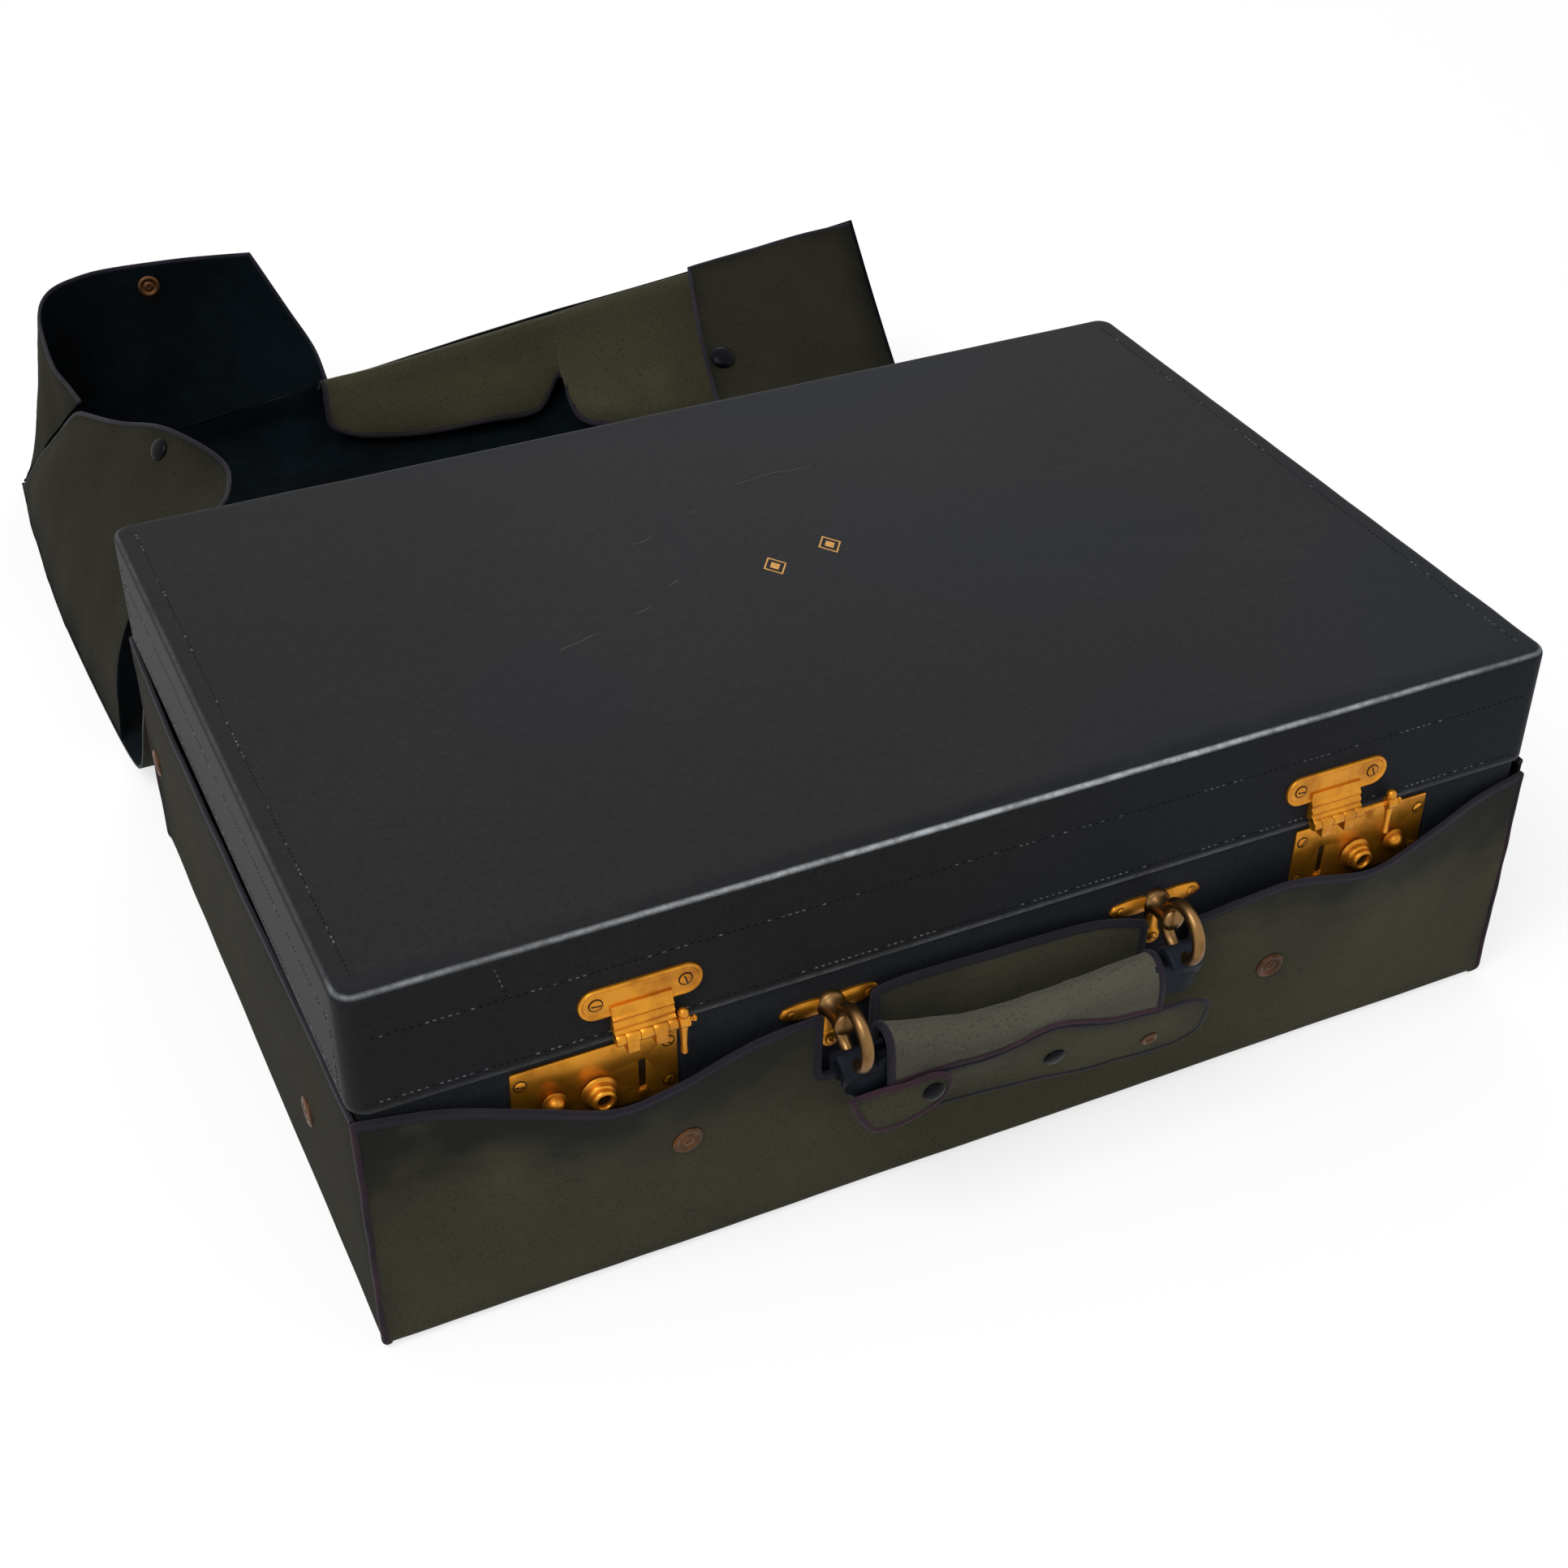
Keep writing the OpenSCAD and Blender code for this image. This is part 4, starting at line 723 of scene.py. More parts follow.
def corner_rounded(u, v, size, radii):
    """Moves shares u and v so that the sheet's corners are round. radii: at u0v0, u1v0, u1v1, u0v1."""
    for radius, (cu, cv) in zip(radii, [(0, 0), (1, 0), (1, 1), (0, 1)]):
        if radius:
            ru, rv = radius / size[0], radius / size[1]
            a, b = 1 - abs(u - cu) / ru, 1 - abs(v - cv) / rv
            near = (a > 0) & (b > 0)
            a2 = a * np.sqrt(np.maximum(1 - b * b / 2, 0))
            b2 = b * np.sqrt(np.maximum(1 - a * a / 2, 0))
            u = np.where(near, cu + (1 - 2 * cu) * (1 - a2) * ru, u)
            v = np.where(near, cv + (1 - 2 * cv) * (1 - b2) * rv, v)
    return u, v


class Cloth:
    """A sheet through a net of points. lean pushes its wrinkles to one side, warp moves its points."""

    def __init__(self, net, us, vs, thick, wrinkle, seed, wave, size=None, radii=None, lean=0, warp=None,
                 dirt_and_shade=()):
        self.net = np.asarray(net, float)
        self.thick = thick
        us = np.linspace(0, 1, us + 1) if isinstance(us, int) else np.asarray(us)
        vs = np.linspace(0, 1, vs + 1) if isinstance(vs, int) else np.asarray(vs)
        u, v = np.meshgrid(us, vs, indexing="ij")
        if radii:
            u, v = corner_rounded(u, v, size, radii)
        self.wrinkle, self.seed, self.wave, self.lean, self.warp = wrinkle, seed, wave, lean, warp
        self.points, self.normals = self.at(u, v)
        self.dirt_and_shade = np.zeros(u.shape)
        # Darker along the edges, in patches: dirt together with painted shade of the seams and folds
        if dirt_and_shade:
            runs = {"l": u * size[0], "r": (1 - u) * size[0], "b": v * size[1], "t": (1 - v) * size[1]}
            for side, reach, share in dirt_and_shade:
                self.dirt_and_shade = np.maximum(self.dirt_and_shade, share * np.exp(-((runs[side] / reach) ** 1.3)))
            noise = [ripple(self.points, seed + k, wave_here) for k, wave_here in ((7, 45), (8, 13), (9, 80))]
            patches = 0.8 + 0.3 * noise[0] + 0.15 * noise[1]
            self.dirt_and_shade = np.clip(self.dirt_and_shade * patches + 0.12 * noise[2], 0, 0.9)

    def at(self, u, v):
        """Points and normals at shares u and v, wrinkles included."""
        p, n = patch(self.net, u, v), patch_normal(self.net, u, v)
        lift = ripple(p, self.seed, self.wave) + 0.35 * ripple(p, self.seed + 50, self.wave / 3)
        if self.lean:
            lift = (lift * 0.5 + 0.6) * self.lean
        p = p + n * (lift * self.wrinkle)[..., None]
        return (self.warp(p) if self.warp else p), n

    def skin(self, shape, front=0, back=1, hole=None):
        """Adds the closed sheet to a shape. hole(i, j) says which cells are cut out."""
        p, n, t = self.points, self.normals, self.thick / 2
        rows, cols = p.shape[:2]
        start = len(shape.verts)
        shape.add(np.concatenate([(p + n * t).reshape(-1, 3), (p - n * t).reshape(-1, 3)]), [],
                  wear=np.tile(self.dirt_and_shade.ravel(), 2))

        def number(k, i, j):
            return start + (k * rows + i) * cols + j

        edges = {}
        for i in range(rows - 1):
            for j in range(cols - 1):
                if hole and hole(i, j):
                    continue
                corners = [(i, j), (i + 1, j), (i + 1, j + 1), (i, j + 1)]
                shape.faces.append([number(0, *c) for c in corners])
                shape.faces.append([number(1, *c) for c in corners[::-1]])
                shape.paints += [front, back]
                for a, b in zip(corners, corners[1:] + corners[:1]):
                    if edges.pop((b, a), None) is None:
                        edges[(a, b)] = True
        for a, b in edges:
            shape.faces.append([number(0, *a), number(1, *a), number(1, *b), number(0, *b)])
            shape.paints.append(front)

    def rim(self, sides):
        """Points and normals round the edge: b bottom (v 0), r right (u 1), t top (v 1), l left (u 0)."""
        ways = {"b": np.s_[:, 0], "r": np.s_[-1], "t": np.s_[::-1, -1], "l": np.s_[0, ::-1]}
        first, *others = [ways[side] for side in sides]
        lines = [[of[first], *[of[way][1:] for way in others]] for of in (self.points, self.normals)]
        return [np.concatenate(line) for line in lines]


# Section of a bound edge: height above the sheet's middle, and how far past its edge
BINDING = [(1.3, -4.6), (1.5, -4.1), (1.25, -3.1), (1.3, -2.6), (1.75, -1.6), (1.7, -0.2), (1.1, 1.0),
           (0, 1.5)]
NARROW_BINDING = [(1.2, -2.8), (1.5, -2.3), (1.6, -0.9), (1.4, 0.2), (0.8, 1.1), (0, 1.4)]


def bind(shape, points, normals, paint, section=BINDING, scale=0.72):
    """Sews a folded tape over an edge. The sheet lies to the left of the line's way, seen from its front."""
    p, n = np.asarray(points, float), np.asarray(normals, float)
    keep = [0] + [k for k in range(1, len(p)) if np.linalg.norm(p[k] - p[k - 1]) > 0.05]
    p, n = p[keep], n[keep]
    out = unit(np.cross(unit(np.gradient(p, axis=0)), n))
    half = [(a * scale, b * scale) for a, b in section]
    inner = half[0][1] + 0.5
    ring = half + [(-a, b) for a, b in half[-2::-1]] + [(-0.3, inner), (0.3, inner)]
    shape.loft([q + np.array([a * m + b * o for a, b in ring]) for q, m, o in zip(p, n, out)], paint)


# Flat sizes of the sheets in metres, by the nodes that they stand for
FLATS = {
    "tray_front_wall": (0.560, 0.112), "tray_left_wall": (0.376, 0.128), "tray_right_wall": (0.376, 0.128),
    "tray_back_wall": (0.556, 0.092), "tray_bottom": (0.560, 0.380),
    "flap_panel": (0.447, 0.571), "flap_left_wall": (0.263, 0.162), "flap_front_wall": (0.229, 0.119),
    "flap_front_strip": (0.302, 0.079), "flap_right_wall": (0.229, 0.144),
    "handle_sleeve": (0.136, 0.049), "sleeve_band": (0.168, 0.034), "sleeve_tab": (0.043, 0.025),
}


def canvas_piece(shape, name, body, paints_used, node, held, rests_on):
    obj = shape.build(name, body, paints_used, "canvas", [node])


def sheet_piece(cloth, *piece, back_out=False, bound=(), hole=None):
    """A cloth as a canvas piece. back_out puts its canvas on the net's back. bound holds its bound edges,
    each a line with its normals and then what else bind takes."""
    shape = Shape()
    cloth.skin(shape, int(back_out), int(not back_out), hole)
    for line, *style in bound:
        bind(shape, *line, *style)
    canvas_piece(shape, *piece)
    return cloth


# Nets of the tray's walls, as in the CAD source

wall_z0 = canvas_t + SEAM_GAP
tray_in_l = tray_l - 2 * canvas_t
tray_in_d = tray_d - 2 * canvas_t
side_wall_h = seam_z - 3
back_wall_h = box_mm("tray_back_wall")[1][2]
FRONT_EDGE = [
    (-1, 3, 0), (-0.88, 8, 3), (-0.76, 17, 9), (-0.65, 27, 12), (-0.55, 25, 11), (-0.42, 19, 7),
    (-0.28, 16, 6), (-0.18, 12, 4), (0, 13, 4), (0.18, 16, 4), (0.32, 28, 6), (0.42, 24, 9), (0.52, 21, 11),
    (0.66, 28, 12), (0.78, 20, 9), (0.9, 13, 3), (1, 9, 0)]
SIDE_EDGE = [(0, 0, 0), (0.25, 1, -1), (0.5, 2, -2), (0.75, 2.5, -1), (1, 1, 0)]
front_wall_y = -tray_in_d / 2 - canvas_t / 2
front_wall_half = tray_l / 2 - 0.5
LOCK_PLACE = 0.6626
lock_x = {side: middle_mm(f"{name}_lock_plate")[0] for side, name in ((-1, "left"), (1, "right"))}


def edge_x(share):
    """Place along the front wall: the waves of its edge follow the locks."""
    side = -1 if share < 0 else 1
    past = max(abs(share) - LOCK_PLACE, 0) / (1 - LOCK_PLACE)
    place = lock_x[side]
    return min(abs(share) / LOCK_PLACE, 1) * place + past * (side * front_wall_half - place)


def front_net():
    net = []
    for share, drop, out in FRONT_EDGE:
        x = edge_x(share)
        net.append([(x, front_wall_y, wall_z0), (x, front_wall_y - out * 0.15, 30),
                    (x, front_wall_y - out * 0.5, 70), (x, front_wall_y - out, seam_z - drop)])
    return net


def side_net(side):
    x = side * (tray_in_l / 2 + canvas_t / 2)
    y0 = -tray_d / 2 + canvas_t + SEAM_GAP
    net = []
    for share, out, rise in SIDE_EDGE:
        y = y0 - 2 * y0 * share
        net.append([(x, y, wall_z0), (x, y, side_wall_h * 0.32),
                    (x + side * out * 0.5, y, side_wall_h * 0.66), (x + side * out, y, side_wall_h + rise)])
    return net


def back_net():
    y = tray_in_d / 2 + canvas_t / 2
    half = tray_l / 2 - canvas_t - SEAM_GAP
    return [[(x, y, wall_z0), (x, y, back_wall_h / 2), (x, y, back_wall_h)] for x in (half, 0, -half)]


LOW_SHARES = [0, 0.008, 0.016, 0.024, 0.033, 0.045]
WALL_SHARES = np.concatenate([LOW_SHARES, np.linspace(0.07, 1, 24)])
bracket_x = {side: middle_mm(f"{side}_handle_bracket")[0] for side in ("left", "right")}
bracket_low, bracket_high = box_mm("left_handle_bracket")
slot_low = bracket_low[2] - 11.5
SLOT_LEFT = 7
SLOT_RIGHT = 17
SLOT_CORNER_R = 3.5
FINE = 801
WALL_PAINTS = ["canvas", "cover_lining", "piping"]
# Walls in painted shade take the darker copy of the canvas
SHADED_WALL_PAINTS = ["canvas_painted_shade", "cover_lining", "piping"]
# Dirt and painted shade along a sheet's edges: which edge, how far in, how strong. The front's middle, round
# the handle, is left lighter.
FRONT_DIRT_AND_SHADE = [("t", 30, 1.4), ("l", 9, 0.5), ("r", 9, 0.5), ("b", 9, 0.45)]
SIDE_DIRT_AND_SHADE = [("t", 14, 0.7), ("l", 10, 0.6), ("r", 10, 0.6), ("b", 8, 0.4)]
LIGHTER_X, LIGHTER_REACH, LIGHTER_SHARE = 25, 100, 0.75
# Insets and heights of the bottom's edge
BOTTOM_EDGE = [(0.2, canvas_t + 0.2), (0, 1.2), (0, 0.6), (0.5, 0.1), (2, 0), (8, 0)]


def front_wall():
    """Front wall with a waved, bound top edge and two slots for the handle's brackets."""
    net = front_net()
    fine = np.linspace(0, 1, FINE)
    x_of_u = patch(net, fine, np.ones(FINE))[:, 0]
    slots = [(bracket_x[s] - SLOT_LEFT, bracket_x[s] + SLOT_RIGHT) for s in ("left", "right")]
    cuts = [np.interp(x, x_of_u, fine) for pair in slots for x in pair]
    even = [u for u in np.linspace(0, 1, 113) if min(abs(u - c) for c in cuts) > 0.003]
    us = np.sort(np.concatenate([even, cuts]))
    v_slot = np.mean([np.interp(slot_low, patch(net, np.full(FINE, c), fine)[:, 2], fine) for c in cuts])
    vs = np.sort(np.concatenate([LOW_SHARES, np.linspace(0.07, 1, 30), [v_slot]]))
    cloth = Cloth(net, us, vs, canvas_t, 0.55, 21, 90, (560, 122), lean=1, warp=tucked, dirt_and_shade=FRONT_DIRT_AND_SHADE)
    # The front's middle is spared part of the dirt and painted shade
    cloth.dirt_and_shade *= 1 - LIGHTER_SHARE * np.exp(-(((cloth.points[..., 0] - LIGHTER_X) / LIGHTER_REACH) ** 2))

    def hole(i, j):
        u, v = (us[i] + us[i + 1]) / 2, (vs[j] + vs[j + 1]) / 2
        return v > v_slot and (cuts[0] < u < cuts[1] or cuts[2] < u < cuts[3])

    line = [(1, 1)]
    for left, right in ((cuts[2], cuts[3]), (cuts[0], cuts[1])):
        line += [(u, 1) for u in us[::-1] if right + 0.004 < u < line[-1][0] - 1e-6]
        line += [(right, 1), (right, v_slot), (left, v_slot), (left, 1)]
    line += [(u, 1) for u in us[::-1] if u < cuts[0] - 0.004]
    scale = np.array([2 * front_wall_half, seam_z - 20.0])
    smooth = resample(fillet(np.array(line) * scale, SLOT_CORNER_R), 2.5) / scale
    return sheet_piece(cloth, "cover_front", "base", WALL_PAINTS, "tray_front_wall", "stretched",
                       "base_leather", bound=[(cloth.at(smooth[:, 0], smooth[:, 1]), 2)], hole=hole)


def side_wall(side, name):
    cloth = Cloth(side_net(side), 48, WALL_SHARES, canvas_t, 0.4, 31 + side, 90, (376, 128), lean=side,
                  warp=tucked, dirt_and_shade=SIDE_DIRT_AND_SHADE)
    return sheet_piece(cloth, f"cover_{name}_side", "base", SHADED_WALL_PAINTS, f"tray_{name}_wall",
                       "stretched", "base_leather", back_out=side < 0,
                       bound=[(cloth.rim("t"), 2, NARROW_BINDING)])


def back_wall():
    cloth = Cloth(back_net(), 40, WALL_SHARES, canvas_t, 0.3, 41, 90, lean=1, warp=tucked)
    sheet_piece(cloth, "cover_back", "base", WALL_PAINTS[:2], "tray_back_wall", "stretched", "base_leather")


def bottom():
    """Bottom panel, flat on the ground, its edge drawn up under the walls."""
    shape = Shape()
    rings = []
    for inset, z in BOTTOM_EDGE:
        o = rounded(tray_l - 2 * inset, tray_d - 2 * inset, max(8 - inset, 1), 6, 40, 28)
        rings.append(np.insert(o, 2, z, axis=1))
    shape.loft(tucked(rings))
    canvas_piece(shape, "cover_bottom", "base", "canvas", "tray_bottom", "laid", "base_leather")


def corner_piping():
    """Piped seams at the tray's upright corners."""
    shape = Shape()
    tops = {(-1, -1): seam_z - 4, (1, -1): seam_z - 10, (-1, 1): side_wall_h - 2, (1, 1): side_wall_h - 2}
    for (sx, sy), top in tops.items():
        corner = np.array([sx * (tray_l / 2 - 0.5), sy * (tray_d / 2 - 0.5)])
        z = np.concatenate([np.linspace(1.2, TUCK_R, 7), np.linspace(10, top, 40)])
        points = tucked(np.column_stack([np.tile(corner, (len(z), 1)), z]))
        points[:, :2] += 0.25 * np.column_stack([ripple(points, 61, 30), ripple(points, 62, 30)])
        shape.tube(points, 1.5, sides=10)
    shape.build("cover_corner_piping", "base", "corner_piping", "piping")


front_sheet = front_wall()
left_sheet = side_wall(-1, "left")
right_sheet = side_wall(1, "right")
back_wall()
bottom()
corner_piping()


# Press studs

SOCKET = [(-0.3, 7), (0.5, 7), (1.1, 6.4), (1.35, 5.6), (1.2, 4.7), (0.7, 4.2), (0.5, 3.4), (0.9, 2.9),
          (1.3, 2.2), (1.2, 1.4), (0.6, 1.0), (0.55, 0)]
CAP = [(-0.4, 5.8), (0.4, 6.4), (1.0, 6.4), (1.7, 5.6), (2.2, 4.0), (2.45, 2.0), (2.5, 0)]
BIG_CAP = [(-0.5, 7.2), (0.6, 8), (1.6, 8), (2.7, 7), (3.6, 5), (4.1, 2.5), (4.2, 0)]
SMALL_CAP = [(-0.3, 4.4), (0.4, 5.0), (0.9, 4.9), (1.5, 4.1), (1.85, 2.6), (1.95, 0)]
EYELET = [(-0.3, 3.8), (0.5, 4.0), (1.1, 3.6), (1.3, 2.9), (1.0, 2.1), (0.4, 1.7), (0.3, 0)]


def snap(shape, sheet, u, v, k, profile, paint=0):
    """Stud part at u and v of a sheet, standing off its side k."""
    p, n = sheet.at(np.array([u]), np.array([v]))
    shape.lathe(p[0] + k * n[0] * (sheet.thick / 2 + 0.1), k * n[0], profile, paint, 28)


def stud_piece(studs, *piece):
    shape = Shape()
    for stud in studs:
        snap(shape, *stud)
    shape.build(*piece)


tray_studs = [(front_sheet, 0.26, 0.66, 1, SOCKET), (front_sheet, 0.744, 0.57, 1, SOCKET)]
tray_studs += [(left_sheet, u, 0.475, -1, SOCKET) for u in (0.227, 0.968)]
tray_studs += [(right_sheet, u, 0.475, 1, SOCKET) for u in (0.227, 0.968)]
stud_piece(tray_studs, "cover_sockets", "base", "copper_snaps", "copper_snaps", ["tray_snap_sockets"])


# Cover, upper half, thrown back. The nets repeat the CAD source's, but for the right wall's top and the
# strip's notch, which follow the photograph more closely.

hinge_z = back_wall_h - 2
hinge_y = tray_d / 2 + canvas_t * 0.4 + SEAM_GAP - case_d / 2
PANEL_X = [1, 110, 220, 330, 440, 559]
PANEL_SHIFT = [(0, 0), (-1, 0), (-3, 0), (-5, 0), (-8, 0), (-9, 0), (-6, -1), (-3, -1), (0, 0)]
PANEL_YZ = [
    [(22, 0), (48, 0), (95, 0), (180, 0), (260, 0), (340, 0), (385, 0), (420, 0)],
    [(22, 0), (48, 0), (95, 0), (180, 0), (260, 0), (347, 1), (394, 8), (403, 26)],
    [(22, 0), (48, 0), (95, 0), (180, 0), (260, 0), (342, 1), (378, 20), (384, 50)],
    [(22, 0), (48, 0), (95, 0), (180, 0), (250, 0), (324, 3), (358, 34), (364, 75)],
    [(22, 0), (48, 0), (95, 0), (180, 0), (222, 2), (280, 18), (324, 58), (339, 99)],
    [(22, 0), (48, 0), (92, 1), (165, 3), (195, 13), (232, 35), (275, 78), (317, 125)]]
PANEL_LOW = 1.6
panel_rise = [hinge_z, hinge_z * 0.65, hinge_z * 0.18, 3, *[PANEL_LOW] * 5]


def placed(net):
    """To the row frame, from x along the standard case and y behind the case's back."""
    p = np.asarray(net, float)
    x = (p[..., 0] - STD_HALF_L) * case_l / (2 * STD_HALF_L)
    return np.stack([x, p[..., 1] + case_d / 2, p[..., 2]], -1)


def panel_net():
    net = []
    for r in range(9):
        row = []
        for c in range(6):
            y, z = ((hinge_y, 0), *PANEL_YZ[c])[r]
            row.append((PANEL_X[c] + (PANEL_SHIFT[r][c] if c < 2 else 0), y, panel_rise[r] + z))
        net.append(row)
    return np.array(net, float)


PANEL = panel_net()


def on_panel(x, u, up, out=0):
    """Point near the panel at x, up from its surface and out past its far edge."""
    v = np.array([np.interp(x, PANEL_X, np.arange(6) / 5)])
    u = np.array([u])
    p = patch(PANEL, u, v)
    run = unit(p - patch(PANEL, u - 0.02, v))
    return (p - up * patch_normal(PANEL, u, v) + out * run)[0]


stand = canvas_t / 2 + FOLD_GAP
folded = canvas_t + FOLD_GAP
LEFT_WALL_NET = [
    [on_panel(2, 0.382, stand + 0.1), (6, 104, 54), (32, 105, 98), (76, 108, 128)],
    [on_panel(2, 0.5, stand + 0.1), (8, 176, 52), (38, 165, 98), (86, 150, 131)],
    [on_panel(2, 0.625, stand + 0.1), (8, 248, 50), (34, 224, 95), (66, 198, 134)],
    [on_panel(2, 0.75, stand + 0.1), (8, 322, 48), (26, 290, 88), (46, 250, 118)],
    [on_panel(2, 0.979, stand + 0.1), (11, 380, 38), (22, 345, 70), (32, 308, 101)]]
FRONT_WALL_NET = [
    [on_panel(4, 1, stand + 0.7), (14, 386, 39), (25, 351, 72), (35, 314, 104)],
    [on_panel(12, 1, stand + 0.2), (18, 410, 52), (24, 390, 88), (28, 365, 113)],
    [on_panel(32, 1, stand, 0.3), (31, 423, 54), (32, 421, 94), (36, 418, 126)],
    [on_panel(60, 1, stand * 0.8, 0.6), (62, 423, 58), (64, 430, 96), (66, 433, 132)],
    [on_panel(110, 1, 0, FOLD_GAP + 0.3), (114, 416, 66), (118, 427, 100), (122, 432, 132)],
    [on_panel(204, 1, 0, FOLD_GAP + 0.7), (202, 405, 66), (190, 417, 92), (172, 424, 131)]]
STRIP_FALLS = [
    [(198, 375, 55), (197, 369, 43), (197, 366, 31), (200, 363, 20)],
    [(250, 365, 63), (250, 359, 47), (250, 354, 31), (250, 351, 16)],
    [(300, 356, 73), (300, 350, 55), (300, 344, 38), (300, 339, 21)],
    [(334, 350, 80), (334, 345, 60), (334, 340, 41), (334, 336, 23)],
    [(351, 346, 84), (351, 342, 71), (351, 338, 58), (351, 334, 46)],
    [(360, 344, 86), (357, 337, 66), (355.5, 325, 44), (357, 303, 24)],
    [(420, 331, 99), (421, 318, 73), (423, 298, 47), (428, 270, 26)],
    [(470, 321, 108), (471, 305, 84), (473, 280, 57), (478, 246, 33)]]
STRIP_NET = [[on_panel(row[0][0], 0.99, folded), *row] for row in STRIP_FALLS]
RIGHT_WALL_NET = [
    [on_panel(557, 0.99, folded, 2.5), (520.5, 312.5, 125), (479.7, 315.8, 119), (440.3, 321.8, 112)],
    [on_panel(557, 0.875, folded), (516, 276, 93), (471, 277, 94), (427, 276, 91)],
    [on_panel(557, 0.75, folded), (511, 232, 62), (464, 235, 67), (420, 237, 67)],
    [on_panel(557, 0.625, folded), (509, 198, 46), (461, 203, 54), (416, 210, 57)],
    [on_panel(557, 0.5, folded), (508, 168, 36), (460, 173, 45), (413, 182, 49)],
    [on_panel(557, 0.4, folded), (505, 112, 20), (460, 120, 28), (415, 132, 34)]]


FLAP_DIRT_AND_SHADE = [("b", 16, 0.75), ("t", 7, 0.6), ("l", 7, 0.5), ("r", 7, 0.5)]
FLAP_BINDING = 0.6
# The flap's walls that take the darker canvas, as painted shade
SHADED_FLAPS = ("flap_left_wall", "flap_front_wall", "flap_right_wall")


def flap_piece(name, net, counts, sides, wrinkle, seed, section=NARROW_BINDING, radii=None):
    """One sheet of the thrown-back half, bound at the sides named. Only the panel's canvas faces down."""
    size = [f / MM for f in FLATS[name]]
    cloth = Cloth(placed(net), *counts, canvas_t, wrinkle, seed, 60, size, radii, dirt_and_shade=FLAP_DIRT_AND_SHADE)
    bound = [(cloth.rim(sides), 2, section, FLAP_BINDING)] if sides else []
    paints_used = SHADED_WALL_PAINTS if name in SHADED_FLAPS else WALL_PAINTS
    return sheet_piece(cloth, f"cover_{name}", "cover_flap", paints_used, name, "folded",
                       "cover_flap_panel", back_out=name != "flap_panel", bound=bound)


flap_piece("flap_panel", PANEL, (72, 60), "", 0.35, 71)
left_flap = flap_piece("flap_left_wall", LEFT_WALL_NET, (40, 24), "rt", 0.6, 72, radii=(0, 0, 10, 14))
front_flap = flap_piece("flap_front_wall", FRONT_WALL_NET, (40, 24), "rt", 0.6, 73)
strip_flap = flap_piece("flap_front_strip", STRIP_NET, (60, 20), "rtl", 0.25, 74, BINDING, (0, 0, 0, 16))
right_flap = flap_piece("flap_right_wall", RIGHT_WALL_NET, (44, 26), "rtl", 0.3, 75)


def flap_seams():
    """Piped seams where the flap's walls join the panel."""
    shape = Shape()
    for sheet in (left_flap, front_flap, strip_flap, right_flap):
        shape.tube(sheet.at(np.linspace(0, 1, 60), np.zeros(60))[0], 1.1, sides=10)
    shape.build("cover_flap_piping", "cover_flap", "cover_lining", "piping")


STUD_PAINTS = ["snap_caps", "copper_snaps"]
flap_seams()
flap_studs = [(left_flap, 0.45, 0.9, -1, CAP), (right_flap, 0.31, 0.915, -1, BIG_CAP),
              (front_flap, 0.75, 0.85, 1, SOCKET, 1)]
stud_piece(flap_studs, "cover_flap_studs", "cover_flap", STUD_PAINTS, "snap_caps", ["flap_snap_caps"])


# Handle

ring_low, ring_high = box_mm("left_handle_ring")
ring_x = {side: middle_mm(f"{side}_handle_ring")[0] for side in ("left", "right")}
ring_y, ring_z = middle_mm("left_handle_ring")[1:]
ring_wire = (ring_high[0] - ring_low[0]) / 2
ring_r = (ring_high[2] - ring_low[2]) / 2 - ring_wire
grip_low, grip_high = box_mm("handle_grip")
grip_x0, grip_x1 = grip_low[0], grip_high[0]
grip_len = grip_x1 - grip_x0
grip_y = grip_high[1] - grip_low[1]
GRIP_Z = 18
LOOP_HALF = 7.5
GRIP_DROP = 7
grip_mid_z = ring_z - ring_r - GRIP_DROP
GRIP_PATH = [(grip_x0 + grip_len * s, ring_y, grip_mid_z + dip)
             for s, dip in [(0, 0), (0.25, -2.5), (0.5, -3.5), (0.75, -2), (1, 0)]]
SLEEVE_T = 1.2
sleeve_off = 0.9 + SLEEVE_T / 2
SLEEVE_MARGIN = 4


def handle_rings():
    a = np.arange(64) * TAU / 64
    for side in ("left", "right"):
        shape = Shape()
        points = [np.full(64, ring_x[side]), ring_y + ring_r * np.cos(a), ring_z + ring_r * np.sin(a)]
        shape.tube(np.column_stack(points), ring_wire, sides=20, loop=True)
        shape.build(f"{side}_ring", "handle", "dull_brass", "gilt_brass", [f"{side}_handle_ring"])


